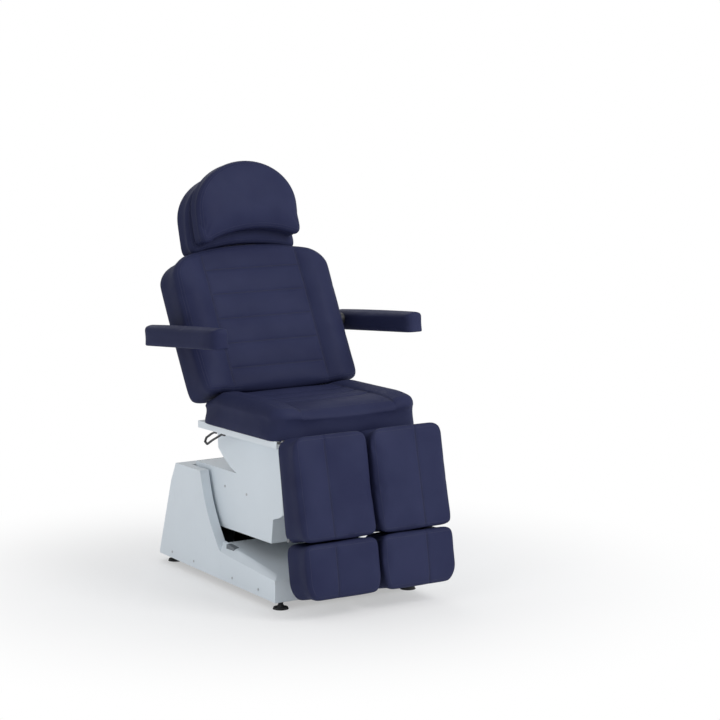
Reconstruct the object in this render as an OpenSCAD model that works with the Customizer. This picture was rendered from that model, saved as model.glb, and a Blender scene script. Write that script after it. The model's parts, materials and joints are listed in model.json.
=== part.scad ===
// Podiatry chair with an electric lift, a tilting seat, a reclining back and split legs.
// Every node is drawn at rest: lowest lift, level seat, back at 27 degrees, legs hanging.
// X runs across the chair, +Y points to its rear and Z = 0 is the floor.

/* [Seat] */
// Width of the seat cushion
seat_w = 606; // [580:1:612]
// Length of the seat cushion
seat_len = 538; // [530:1:545]
// Height of the seat frame's underside above the floor
seat_frame_z = 565; // [563:1:600]
// Height of the white seat frame
seat_frame_h = 25; // [22:1:30]
// Thickness of the seat board
seat_board_t = 10; // [8:1:14]
// Thickness of the seat cushion at its bolsters
seat_cushion_t = 110; // [90:1:114]
// Radius of the seat cushion's top edges
seat_edge_r = 30; // [20:1:36]
// Depth by which the middle of the seat is dished
seat_dish = 13; // [4:1:18]

/* [Backrest] */
// Angle of the backrest from upright at rest
recline = 27; // [27:1:30]
// Distance from the seat's front to the back hinge
back_hinge_y = 505; // [505:1:512]
// Width of the backrest at its foot
back_foot_w = 654; // [640:1:660]
// Width of the backrest at the armrests and shoulders
back_w = 662; // [655:1:668]
// Distance from the hinge to the lower end of the back cushion
back_start = 67.5; // [67:0.5:80]
// Distance from the hinge to the top of the back cushion
back_top = 622; // [600:1:622]
// Thickness of the back cushion at its channels
back_cushion_t = 131; // [110:1:132]
// Height by which the side bolsters stand above the channels
bolster_rise = 16; // [6:1:20]
// Spacing of the sewn channels
channel_pitch = 94.5; // [80:0.5:98]
// Half width of the sewn channels
channel_half = 200; // [180:1:215]

/* [Head] */
// Angle of the headrest from upright at rest
head_angle = 15; // [14:1:16]
// Width of the headrest cushion
headrest_w = 452; // [400:1:460]
// Length of the headrest cushion
headrest_len = 293; // [250:1:300]
// Thickness of the headrest cushion
headrest_t = 90; // [70:1:92]
// Width of the head pillow
pillow_w = 434; // [380:1:450]
// Length of the head pillow
pillow_len = 294; // [260:1:300]
// Thickness of the head pillow
pillow_t = 70; // [50:1:80]

/* [Legs] */
// Angle of the hanging legs from upright
hang = 9; // [7:1:11]
// Gap between the two legs
leg_gap = 12; // [8:1:16]
// Width of one leg pad
leg_pad_w = 303; // [290:1:304]
// Length of a leg pad
leg_pad_len = 355; // [330:1:357]
// Thickness of a leg pad at its top
leg_pad_t = 92; // [80:1:96]
// Extra thickness of a leg pad at its lower end
leg_pad_swell = 20; // [0:1:24]
// Length of a foot pad
foot_pad_len = 192; // [170:1:204]
// Thickness of a foot pad
foot_pad_t = 110; // [90:1:114]
// Radius of a foot pad's outer lower corner
foot_corner_r = 66; // [40:1:80]

/* [Armrests] */
// Length of an armrest pad
arm_len = 513; // [440:1:520]
// Width of an armrest pad
arm_w = 75; // [66:1:84]
// Height of an armrest pad
arm_h = 76; // [64:1:84]
// Distance between the armrest pads' inner sides
arm_inside_w = 738; // [736:1:760]

/* [Base] */
// Width of the base at its front
base_front_w = 600; // [590:1:620]
// Width of the base at its rear
base_rear_w = 470; // [465:1:520]
// Length of the base
base_len = 922; // [915:1:940]
// Height of the gap under the base cover
base_lift = 26; // [24:1:30]
// Height of the base cover's front edge above the floor
base_front_top = 103; // [96:1:108]
// Height of the base's outer edge where the tower starts
base_mid_top = 128; // [122:1:134]
// Width of the sloping shoulder along the base
shoulder_w = 32; // [24:1:40]
// Height of the sloping shoulder
shoulder_rise = 30; // [20:1:34]
// Thickness of the tower's side wings
wing_t = 36; // [30:1:38]
// Height of the tower above the floor
tower_top = 396; // [392:1:398]
// Wall of the moulded covers
cover_wall = 4; // [3:0.5:5]

/* [Lift] */
// Length of the lift arms between their pivots
arm_reach = 330; // [328:1:334]
// Angle of the lift arms below level at rest
arm_drop = 22; // [21:1:23]
// Height of the lower arm's base pivot
lift_pivot_z = 275; // [273:1:280]
// Distance between the upper and the lower arm
arm_spacing = 75; // [72:1:78]
// Depth of a lift arm
lift_arm_h = 36; // [30:1:36]
// Width of one bar of a lift arm
lift_arm_w = 40; // [30:1:60]
// Radius of the lift pins
lift_pin_r = 10; // [8:0.5:12]
// Radius of an actuator's housing
motor_r = 22; // [18:1:24]
// Radius of an actuator's rod
rod_r = 11; // [8:0.5:12]

/* [Fits] */
// Radial clearance of pins and shafts that turn
turn_gap = 0.06; // [0.03:0.01:0.1]
// Radial clearance of pins that stay fixed
seat_gap = 0.02; // [0.01:0.01:0.05]
// Clearance between a cover or pad and what carries it
rest_gap = 0.3; // [0.2:0.05:0.5]
// Clearance of the sliding leg tubes
slide_gap = 0.4; // [0.3:0.05:0.6]

/* [Hidden] */
$fn = 48;

// Overrun of cuts
cut = 1;
// Colours
navy = [0.22, 0.23, 0.36];
shell_white = [0.82, 0.86, 0.89];
dark = [0.12, 0.12, 0.13];
steel = [0.62, 0.63, 0.65];
zinc = [0.75, 0.76, 0.78];
wood = [0.70, 0.56, 0.38];

// Named shares and small angles of the pad meshes
ring_angles = [30, 60, 90];
tuck_share = 0.42;
low_edge_share = 0.12;
seam_depth = 5;
seam_half = 7;
side_tuck = 5;
back_edge_r = 7;

// A pad is one closed mesh. Its face is a grid of rows, rings run round its sides from the
// face to the back, and the back is flat. The face looks along -Y and the rows climb along Z.
function grid_loop(nr, nc) = concat([for (c = [0:nc - 1]) c],
    [for (r = [1:nr - 1]) r * nc + nc - 1], [for (c = [nc - 2:-1:0]) (nr - 1) * nc + c],
    [for (r = [nr - 2:-1:1]) r * nc]);
function outward(rim, k) = let (n = len(rim), a = rim[(k + n - 1) % n], b = rim[(k + 1) % n],
    t = [b[0] - a[0], b[2] - a[2]]) [t[1], -t[0]] / norm(t);
function mean(v) = v * [for (i = v) 1] / len(v);
function face_grid(zs, shares, place, depth) = [for (z = zs) [for (s = shares)
    let (p = place(s, z)) [p[0], -depth(p[0], p[1]), p[1]]]];
// Rings of a side: a rounded top edge, a side drawn in and a small lower edge
function side_rings(r, t, tuck = side_tuck) = concat(
    [for (a = ring_angles) [r * sin(a), 1 - r * (1 - cos(a)) / t]],
    [[r - tuck, tuck_share], [r, low_edge_share], [r - back_edge_r, 0]]);
function pad_rings(rim, rings) = let (n = len(rim), out = [for (k = [0:n - 1]) outward(rim, k)])
    [for (s = rings) for (k = [0:n - 1])
        [rim[k][0] + s[0] * out[k][0], rim[k][1] * s[1], rim[k][2] + s[0] * out[k][1]]];
function strip(a, b) = let (n = len(a)) [for (k = [0:n - 1]) let (m = (k + 1) % n)
    each [[a[k], a[m], b[m]], [a[k], b[m], b[k]]]];

module pad(grid, rings) {
    nr = len(grid);
    nc = len(grid[0]);
    face = [for (row = grid) each row];
    loop = grid_loop(nr, nc);
    n = len(loop);
    rim = [for (i = loop) face[i]];
    middle = [mean([for (p = rim) p[0]]), 0, mean([for (p = rim) p[2]])];
    levels = [for (s = [0:len(rings) - 1]) [for (k = [0:n - 1]) nr * nc + s * n + k]];
    last = levels[len(rings) - 1];
    hub = nr * nc + len(rings) * n;
    front = [for (r = [0:nr - 2]) for (c = [0:nc - 2]) let (i = r * nc + c)
        each [[i, i + nc, i + nc + 1], [i, i + nc + 1, i + 1]]];
    sides = [for (s = [0:len(rings) - 1]) each strip(s == 0 ? loop : levels[s - 1], levels[s])];
    back = [for (k = [0:n - 1]) [last[k], last[(k + 1) % n], hub]];
    polyhedron(concat(face, pad_rings(rim, rings), [middle]), concat(front, sides, back));
}

// A groove that dips by seam_depth at each seam and is level between them
function groove(v, seams) = seam_depth * max([for (s = seams) max(0, 1 - abs(v - s) / seam_half)]);
// Rows or columns that carry each seam and its two shoulders
function with_seams(seams) = [for (s = seams) each [s - seam_half, s, s + seam_half]];
function soft_hill(v) = 1 - v * v * v * v;

// Positions shared by the nodes, measured from the seat's front plane and the floor
seat_board_z = seat_frame_z + seat_frame_h;
seat_z = seat_board_z + seat_board_t;
back_hinge_z = seat_frame_z + 0.8 * seat_frame_h;
leg_hinge_y = -30;
leg_hinge_z = seat_board_z + 2;
base_front_y = 5;
base_back_y = base_front_y + base_len;
lift_pivot_y = 760;
arm_dy = arm_reach * cos(arm_drop);
arm_dz = arm_reach * sin(arm_drop);
front_pivot_y = lift_pivot_y - arm_dy;
front_pivot_z = lift_pivot_z - arm_dz;
// The lift actuator's two pins lie on one circle, so that it turns by half the arms' angle
lift_pin_rise = 125;
lift_pin_y = front_pivot_y;
lift_pin_z = front_pivot_z + lift_pin_rise;
lift_motor_y = lift_pivot_y;
lift_motor_z = lift_pivot_z + lift_pin_rise - arm_reach;
tilt_y = 475;
tilt_z = seat_frame_z - 20;
tilt_pin_reach = 325;
tilt_pin_angle = 177.4;
tilt_motor_angle = 226.4;
tilt_pin = [tilt_y, tilt_z] + tilt_pin_reach * [cos(tilt_pin_angle), sin(tilt_pin_angle)];
tilt_base = [tilt_y, tilt_z] + tilt_pin_reach * [cos(tilt_motor_angle), sin(tilt_motor_angle)];
back_pin_reach = 165;
back_motor_angle = 218;
back_lever_angle = 368;
back_base = [back_hinge_y, back_hinge_z]
    + back_pin_reach * [cos(back_motor_angle), sin(back_motor_angle)];
back_pin = [back_hinge_y, back_hinge_z]
    + back_pin_reach * [cos(back_lever_angle), sin(back_lever_angle)];
gas_reach = 130;
gas_seat_angle = -7.5;
gas_arm_n = 20;
gas_arm_a = sqrt(pow(gas_reach, 2) - pow(gas_arm_n, 2));
gas_leg_angle = atan2(-gas_arm_a, gas_arm_n) - hang;
gas_seat_pin = [leg_hinge_y, leg_hinge_z] + gas_reach * [cos(gas_seat_angle), sin(gas_seat_angle)];
gas_leg_pin = [leg_hinge_y, leg_hinge_z] + gas_reach * [cos(gas_leg_angle), sin(gas_leg_angle)];

// The leg and foot pads stand in front of the leg hinge by these depths
leg_back_n = 11;
leg_pad_start = -12;
foot_gap = 8;
foot_pad_start = leg_pad_start + leg_pad_len + foot_gap;
leg_centre = leg_gap / 2 + leg_pad_w / 2;
pad_crown = 6;
pad_edge_r = 24;

// The chair stands with the middle of its whole length at Y = 0
front_reach = -leg_hinge_y + (foot_pad_start + foot_pad_len / 2) * sin(hang)
    + (leg_back_n + foot_pad_t) * cos(hang);
seat_front = (front_reach - base_back_y) / 2;

module placed() translate([0, seat_front, 0]) children();
module across(w) rotate([90, 0, 90]) translate([0, 0, -w / 2]) linear_extrude(w) children();
module pair(x) for (s = [-1, 1]) translate([s * x, 0, 0]) children();
module on_back() placed() translate([0, back_hinge_y, back_hinge_z]) rotate([-recline, 0, 0])
    children();
module on_head() on_back() translate([0, -head_hinge_n, head_hinge_a])
    rotate([recline - head_angle, 0, 0]) children();
module on_leg(side) placed() translate([side * leg_centre, leg_hinge_y, leg_hinge_z])
    rotate([-hang, 0, 0]) children();
// A pin or a boss along X at a place in the YZ plane
module x_rod(p, r, w) translate([0, p[0], p[1]]) rotate([0, 90, 0]) cylinder(r = r, h = w, center = true);
// A bar in the YZ plane with a round boss at each end
boss_step = 2;
boss_face = 0.5;
module x_bar(p, q, r, w) {
    x_rod(p, r, w);
    x_rod(q, r, w);
    translate([0, p[0], p[1]]) rotate([atan2(q[1] - p[1], q[0] - p[0]), 0, 0])
        translate([boss_face - w / 2, 0, boss_step - r])
            cube([w - 2 * boss_face, norm(q - p), 2 * (r - boss_step)]);
}

// Base: plan and side outlines
plate_t = 6;
plate_z = 46;
function base_half(y) = base_front_w / 2
    + (base_rear_w - base_front_w) / 2 * (y - base_front_y) / base_len;
well_y = 426;
module plan(y0, y1, inset) polygon([[-base_half(y0) + inset, y0], [base_half(y0) - inset, y0],
    [base_half(y1) - inset, y1], [-base_half(y1) + inset, y1]]);

module base_frame() placed() color(steel) {
    difference() {
        translate([0, 0, plate_z]) linear_extrude(plate_t)
            plan(base_front_y + cover_wall + rest_gap, base_back_y - plate_rear_inset,
                cover_wall + rest_gap);
        feet_places() cylinder(r = foot_stem_r + turn_gap, h = plate_z + 2 * plate_t);
        screw_places() cylinder(r = screw_r + seat_gap, h = screw_len + cut);
    }
    feet_places() translate([0, 0, base_lift]) difference() {
        cylinder(r = foot_boss_r, h = plate_z - base_lift);
        translate([0, 0, -cut]) cylinder(r = foot_stem_r + turn_gap, h = plate_z - base_lift + 2 * cut);
    }
    pair(upright_x) difference() {
        across(upright_t) polygon([[upright_front_y, plate_z + plate_t],
            [upright_back_y, plate_z + plate_t], [upright_top_back_y, upright_top_z],
            [upright_top_front_y, upright_top_z], [upright_front_y, lift_pivot_z - arm_spacing]]);
        base_pin_places(lift_pin_r + seat_gap, small_pin_r + seat_gap, upright_t + 2 * cut);
    }
}
plate_rear_inset = 12;
plate_step = 0.2;
foot_stem_r = 6;
foot_boss_r = 10;
foot_x = 268;
foot_front_y = 20;
foot_rear_x = 195;
foot_rear_y = 880;
module feet_places() {
    pair(foot_x) translate([0, foot_front_y, 0]) children();
    pair(foot_rear_x) translate([0, foot_rear_y, 0]) children();
}
upright_x = 48;
upright_t = 8;
upright_front_y = 700;
upright_back_y = 830;
upright_top_back_y = 782;
upright_top_front_y = 738;
upright_top_z = lift_pivot_z + arm_spacing + 21;
small_pin_r = 8;
module base_pin_places(r, small_r, w) {
    x_rod([lift_pivot_y, lift_pivot_z], r, w);
    x_rod([lift_pivot_y, lift_pivot_z + arm_spacing], r, w);
    x_rod([lift_motor_y, lift_motor_z], small_r, w);
}
lift_pin_w = 2 * (upright_x + upright_t / 2 + 2 + lift_arm_w + 4);
motor_pin_w = 2 * upright_x + upright_t;
module base_pins() placed() color(zinc) {
    x_rod([lift_pivot_y, lift_pivot_z], lift_pin_r, lift_pin_w);
    x_rod([lift_pivot_y, lift_pivot_z + arm_spacing], lift_pin_r, lift_pin_w);
    x_rod([lift_motor_y, lift_motor_z], small_pin_r, motor_pin_w);
}

// The low front part of the cover, as a block drawn in by a wall
module deck_block(w) {
    y0 = base_front_y + w;
    y1 = well_y + well_lap + (w == 0 ? 0 : cut);
    top0 = base_front_top - w;
    top1 = base_mid_top - w;
    z0 = w == 0 ? base_lift : base_lift - cut;
    a = base_half(base_front_y) - w - side_step;
    b = base_half(y1) - w - side_step;
    s = shoulder_w;
    polyhedron([[-a, y0, z0], [a, y0, z0], [b, y1, z0], [-b, y1, z0],
        [-a, y0, top0], [a, y0, top0], [b, y1, top1], [-b, y1, top1],
        [s - a, y0 + shoulder_w, top0 + nose_rise], [a - s, y0 + shoulder_w, top0 + nose_rise],
        [b - s, y1, top1 + shoulder_rise], [s - b, y1, top1 + shoulder_rise]],
        [[0, 1, 2, 3], [5, 1, 0, 4], [6, 2, 1, 5], [7, 3, 2, 6], [4, 0, 3, 7], [8, 9, 5, 4],
        [9, 10, 6, 5], [10, 11, 7, 6], [11, 8, 4, 7], [11, 10, 9, 8]]);
}
side_step = 0.3;
nose_rise = 16;
well_lap = 24;
// Side outline of the tower: a curved front edge, a level top and a sloping rear
function tower_side(w) = [[well_y + w, base_lift - w], [well_y + w, base_mid_top - w],
    [460 + w, 165 - w], [480 + w, 204 - w], [514 + w, 235 - w], [540 + w, 272 - w],
    [566 + w, 346 - w], [582 + w, tower_top - w], [783 - w, tower_top - 4 - w], [824 - w, 320],
    [897 - w, 122], [base_back_y - w, base_lift + 14], [base_back_y - w, base_lift - w]];
tower_lid_y = 720;
module well_outline(w) intersection() {
    translate([0, 0, -cut]) linear_extrude(tower_top + 4 * cut)
        plan(well_y - cut, base_back_y, wing_t - w);
    across(base_front_w) polygon([[well_y - w - cut, -w], [well_y - w - cut, tower_top + cut + w],
        [tower_lid_y - w, tower_top + cut + w], [tower_lid_y - w, tower_top - 8 + w],
        [775 + w, tower_top - 10 + w], [817 + w, 320], [890 + w, 122],
        [base_back_y - 6 + w, base_lift + 14], [base_back_y - 6 + w, -w]]);
}
module tower_block(w) intersection() {
    across(base_front_w) polygon(tower_side(w));
    linear_extrude(tower_top + cut) plan(well_y, base_back_y, w);
}
module base_cover() placed() color(shell_white) difference() {
    union() {
        difference() {
            deck_block(0);
            deck_block(cover_wall);
            well_outline(0);
        }
        difference() {
            tower_block(0);
            well_outline(0);
            difference() {
                tower_block(cover_wall);
                well_outline(cover_wall);
            }
        }
    }
    translate([0, 0, base_lift - cut]) linear_extrude(plate_z + plate_t + rest_gap - base_lift + cut)
        plan(base_front_y + cover_wall + plate_step, base_back_y - plate_rear_inset + rest_gap,
            cover_wall + plate_step);
    pair(plug_x) translate([0, plug_y, plug_z]) rotate([plug_pitch, 0, 0])
        cube([plug_w, plug_len + slide_gap, plug_depth], center = true);
    screw_places() translate([0, 0, -cut]) cylinder(r = screw_r + turn_gap, h = cover_wall + 2 * cut);
    translate([inlet_x, base_back_y - inlet_depth / 2, inlet_z])
        cube([inlet_w, inlet_depth + 2 * cut, inlet_h + 2 * rest_gap], center = true);
}
plug_x = base_front_w / 2 - 54;
plug_y = 378;
plug_z = base_mid_top + 18;
plug_pitch = 5;
plug_w = 20;
plug_len = 52;
plug_depth = 24;
module base_access_plugs() placed() color([0.55, 0.58, 0.61]) pair(plug_x) {
    translate([0, plug_y, plug_z]) rotate([plug_pitch, 0, 0])
        cube([plug_w, plug_len, plug_depth - 8], center = true);
}
screw_r = 2;
screw_len = 16;
screw_head_r = 4.5;
screw_head_t = 1.5;
screw_rows = [130, 330, 640, 820];
skirt_turn = atan((base_front_w - base_rear_w) / 2 / base_len);
// Screws through the sides of the cover into the edge of the base plate
module screw_places() for (y = screw_rows) for (s = [-1, 1])
    translate([s * base_half(y), y, plate_z + plate_t / 2]) rotate([0, 0, s * skirt_turn])
        rotate([0, -s * 90, 0]) children();
module screw() {
    cylinder(r = screw_r, h = screw_len);
    translate([0, 0, -screw_head_t]) cylinder(r = screw_head_r, h = screw_head_t);
}
module base_cover_screws() placed() color(zinc) screw_places() screw();
module base_well_liner() placed() color(dark) translate([0, 0, plate_z + plate_t]) difference() {
    linear_extrude(liner_h) plan(well_y, liner_back_y, wing_t + liner_inset);
    translate([0, 0, -cut]) linear_extrude(liner_h + 2 * cut)
        plan(well_y + liner_t, liner_back_y - liner_t, wing_t + liner_inset + liner_t);
}
liner_h = 96;
liner_t = 3;
liner_inset = 1;
liner_back_y = 860;

inlet_x = 120;
inlet_z = 78;
inlet_w = 50;
inlet_h = 30;
inlet_depth = 34;
socket_w = 27;
socket_h = 19;
socket_depth = 16;
module power_inlet() placed() color(dark)
    translate([inlet_x, base_back_y - inlet_setback, inlet_z]) {
        difference() {
            translate([-inlet_w / 2, -inlet_depth, -inlet_h / 2]) cube([inlet_w, inlet_depth, inlet_h]);
            translate([-socket_w / 2, -socket_depth, -socket_h / 2])
                cube([socket_w, socket_depth + cut, socket_h]);
        }
        for (x = [-blade_gap, 0, blade_gap]) translate([x, -socket_depth, x == 0 ? blade_rise : 0])
            translate([-blade_t / 2, 0, 0]) cube([blade_t, blade_len, blade_h]);
    }
inlet_setback = 10;
blade_gap = 7;
blade_rise = 3;
blade_t = 2;
blade_h = 4;
blade_len = 8;
box_size = [120, 180, 44];
module control_box() placed() color(dark)
    translate([box_x, box_y, plate_z + plate_t]) {
        cube(box_size);
        for (i = [1:3]) translate([i * box_size[0] / 4, box_size[1], box_size[2] / 2])
            rotate([-90, 0, 0]) cylinder(r = port_r, h = port_len);
    }
box_x = 100;
box_y = 150;
port_r = 8;
port_len = 12;

// A levelling foot: a disc, a cone, a jam nut and a threaded stem
foot_disc_r = 28;
foot_disc_t = 7;
nut_r = 10;
nut_t = 8;
module levelling_foot(x, y) placed() translate([x, y, 0]) color(dark) {
    cylinder(r1 = foot_disc_r, r2 = foot_disc_r - 3, h = foot_disc_t);
    translate([0, 0, foot_disc_t]) cylinder(r1 = foot_disc_r / 2, r2 = nut_r, h = nut_t);
    translate([0, 0, base_lift - nut_t - rest_gap]) cylinder(r = nut_r, h = nut_t, $fn = 6);
    cylinder(r = foot_stem_r, h = plate_z + plate_t + nut_t);
}
module levelling_foot_front_left() levelling_foot(foot_x, foot_front_y);
module levelling_foot_front_right() levelling_foot(-foot_x, foot_front_y);
module levelling_foot_rear_left() levelling_foot(foot_rear_x, foot_rear_y);
module levelling_foot_rear_right() levelling_foot(-foot_rear_x, foot_rear_y);

// Lift arms: two bars with a cross tube near the base pivot
lift_bar_x = upright_x + upright_t / 2 + 2 + lift_arm_w / 2;
cross_tube_at = 90;
cross_tube_r = 12;
module lift_arms(z, front_gap) placed() color(steel) {
    p = [lift_pivot_y, z];
    q = [front_pivot_y, z - arm_dz];
    u = (q - p) / arm_reach;
    difference() {
        union() {
            pair(lift_bar_x) x_bar(q, p, lift_arm_h / 2 + boss_step, lift_arm_w);
            x_rod(p + cross_tube_at * u, cross_tube_r, 2 * lift_bar_x);
        }
        x_rod(p, lift_pin_r + turn_gap, lift_pin_w + 2 * cut);
        x_rod(q, lift_pin_r + front_gap, lift_pin_w + 2 * cut);
    }
}
module lower_lift_arms() lift_arms(lift_pivot_z, turn_gap);
module upper_lift_arms() lift_arms(lift_pivot_z + arm_spacing, slide_gap);

// An actuator between a base pin and a moving pin: housing with a motor, and its rod
eye_r = 14;
eye_w = 24;
housing_start = 26;
tube_floor = 12;
function aim(a, b) = atan2(b[1] - a[1], b[0] - a[0]);
module along(a, b) translate([0, a[0], a[1]]) rotate([aim(a, b), 0, 0]) children();
module y_rod(from, to, r) translate([0, from, 0]) rotate([-90, 0, 0]) cylinder(r = r, h = to - from);
module motor_housing(a, b, tube, motor_side, motor_len) placed() color(dark) along(a, b) {
    difference() {
        union() {
            x_rod([0, 0], eye_r, eye_w);
            translate([-eye_w / 2, 0, -eye_r]) cube([eye_w, housing_start + cut, 2 * eye_r]);
            y_rod(housing_start, tube, motor_r);
            translate([0, 0, motor_side * (motor_r + motor_can_r)])
                y_rod(housing_start, housing_start + motor_len, motor_can_r);
            translate([-motor_can_r, housing_start, motor_side > 0 ? 0 : -motor_r - motor_can_r])
                cube([2 * motor_can_r, gearbox_len, motor_r + motor_can_r]);
        }
        x_rod([0, 0], small_pin_r + turn_gap, eye_w + 2 * cut);
        y_rod(housing_start + tube_floor, tube + cut, rod_r + rod_clear);
    }
}
rod_clear = 1.5;
motor_can_r = 17;
gearbox_len = 44;
module motor_rod(a, b, rod) placed() color(zinc) along(b, a) difference() {
    union() {
        x_rod([0, 0], eye_r, eye_w);
        y_rod(0, rod, rod_r);
    }
    x_rod([0, 0], small_pin_r + turn_gap, eye_w + 2 * cut);
}
lift_base = [lift_motor_y, lift_motor_z];
lift_top = [lift_pin_y, lift_pin_z];
lift_tube = 262;
lift_rod = 326;
tilt_tube = 182;
tilt_rod = 214;
back_tube = 186;
back_rod = 190;
module lift_motor() motor_housing(lift_base, lift_top, lift_tube, -1, 130);
module lift_motor_rod() motor_rod(lift_base, lift_top, lift_rod);
module tilt_motor() motor_housing(tilt_base, tilt_pin, tilt_tube, 1, 110);
module tilt_motor_rod() motor_rod(tilt_base, tilt_pin, tilt_rod);
module back_motor() motor_housing(back_base, back_pin, back_tube, -1, 80);
module back_motor_rod() motor_rod(back_base, back_pin, back_rod);

// Carriage: two side plates, the tilt tube and the bars that carry the shroud
tilt_tube_r = 20;
tilt_tube_w = 384;
tilt_tube_in = 44;
shroud_half = 219;
shroud_rear_half = 209;
corner_cut = 26;
module carriage_frame() placed() color(steel) difference() {
    union() {
        pair(upright_x) across(upright_t) polygon([[front_pivot_y - 19, front_pivot_z - 6],
            [front_pivot_y - 8, front_pivot_z - 21], [front_pivot_y + 20, front_pivot_z - 21], [tilt_y + 27, 290],
            [tilt_y + 27, tilt_z + 12], [tilt_y - 27, tilt_z + 12], [tilt_y - 27, 400],
            [tilt_base[0] + 50, tilt_base[1] + 26], [tilt_base[0] - 18, tilt_base[1] + 18],
            [tilt_base[0] - 18, tilt_base[1] - 18], [tilt_base[0] + 50, tilt_base[1] - 26],
            [front_pivot_y - 19, 270]]);
        pair((tilt_tube_in + tilt_tube_w / 2) / 2)
            x_rod([tilt_y, tilt_z], tilt_tube_r, tilt_tube_w / 2 - tilt_tube_in);
        for (p = shroud_bars) translate([0, p[0], p[1]])
            cube([2 * (shroud_width(p[0]) - cover_wall - rest_gap), bar_t, bar_h], center = true);
    }
    pair(tilt_tube_w / 2) x_rod([tilt_y, tilt_z], lift_pin_r + seat_gap, tilt_bore_w);
    shroud_screw_places() translate([0, 0, -screw_len - cut]) cylinder(r = screw_r + seat_gap, h = screw_len + cut);
    for (z = [0, arm_spacing]) x_rod([front_pivot_y, front_pivot_z + z], lift_pin_r + seat_gap, lift_pin_w);
    x_rod(lift_top, small_pin_r + seat_gap, lift_pin_w);
    x_rod(tilt_base, small_pin_r + seat_gap, lift_pin_w);
}
bar_t = 20;
bar_h = 30;
tilt_bore_w = 60;
shroud_bars = [[330, 345], [484, 350]];

function shroud_width(y) = shroud_half + (shroud_rear_half - shroud_half)
    * (y - shroud_front_y - corner_cut) / (shroud_back_y - shroud_front_y - corner_cut);
module carriage_pins() placed() color(zinc) {
    for (z = [0, arm_spacing]) x_rod([front_pivot_y, front_pivot_z + z], lift_pin_r, lift_pin_w);
    x_rod(lift_top, small_pin_r, motor_pin_w);
    x_rod(tilt_base, small_pin_r, motor_pin_w);
    pair(tilt_tube_w / 2) x_rod([tilt_y, tilt_z], lift_pin_r, tilt_pin_w);
}
tilt_pin_w = 26;

// Shroud: its side outline with the neck, the deck and the raised front
shroud_front_y = 62;
shroud_back_y = 694;
shroud_foot_z = 198;
deck_z = 410;
neck_top_z = seat_frame_z - 6;
function shroud_side(w) = [[160 + w, shroud_foot_z - 2 * w], [148 + w, 286 + w],
    [107 + w, 298 + w], [shroud_front_y + w, 324 + w], [shroud_front_y + w, neck_top_z + 2 * w],
    [537 - w, neck_top_z + 2 * w], [531 - w, 485], [492 - w, 454 - w], [440 - w, 424 - w],
    [400 - w, deck_z - w], [shroud_back_y - w, deck_z - w], [shroud_back_y - w, 372 - 2 * w],
    [575 - w, 372 - 2 * w], [540, 300 - w], [503, shroud_foot_z - 2 * w]];
module shroud_block(w) intersection() {
    across(base_front_w) polygon(shroud_side(w));
    linear_extrude(seat_frame_z + 10 * w) polygon([
        [corner_cut - shroud_half + w, shroud_front_y + w], [shroud_half - corner_cut - w, shroud_front_y + w],
        [shroud_half - w, shroud_front_y + corner_cut + w], [shroud_rear_half - w, shroud_back_y - w],
        [w - shroud_rear_half, shroud_back_y - w], [w - shroud_half, shroud_front_y + corner_cut + w]]);
}
shroud_turn = atan((shroud_half - shroud_rear_half) / (shroud_back_y - shroud_front_y - corner_cut));
front_notch_w = 380;
front_notch_z = 488;
rear_notch_w = 186;
rear_notch_z = 405;
rear_notch_y = 380;
rear_notch_len = 170;
module under_seat_shroud() placed() color(shell_white) difference() {
    shroud_block(0);
    shroud_block(cover_wall);
    translate([-front_notch_w / 2, shroud_front_y - cut, front_notch_z])
        cube([front_notch_w, 5 * cover_wall, neck_top_z]);
    translate([-rear_notch_w / 2, rear_notch_y, rear_notch_z])
        cube([rear_notch_w, rear_notch_len, neck_top_z]);
    shroud_screw_places() cylinder(r = screw_r + turn_gap, h = 3 * cover_wall, center = true);
}
module shroud_screw_places() for (p = shroud_bars) for (s = [-1, 1])
    translate([s * shroud_width(p[0]), p[0], p[1]]) rotate([0, 0, s * shroud_turn])
        rotate([0, s * 90, 0]) children();
module shroud_screws() placed() color(zinc) shroud_screw_places() rotate([180, 0, 0]) screw();
module shroud_edge_seal() placed() color(dark)
    translate([-seal_w / 2, shroud_back_y, deck_z - seal_h]) cube([seal_w, seal_t, seal_h]);
seal_w = 2 * shroud_rear_half - 8;
seal_t = 3;
seal_h = 12;

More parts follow.
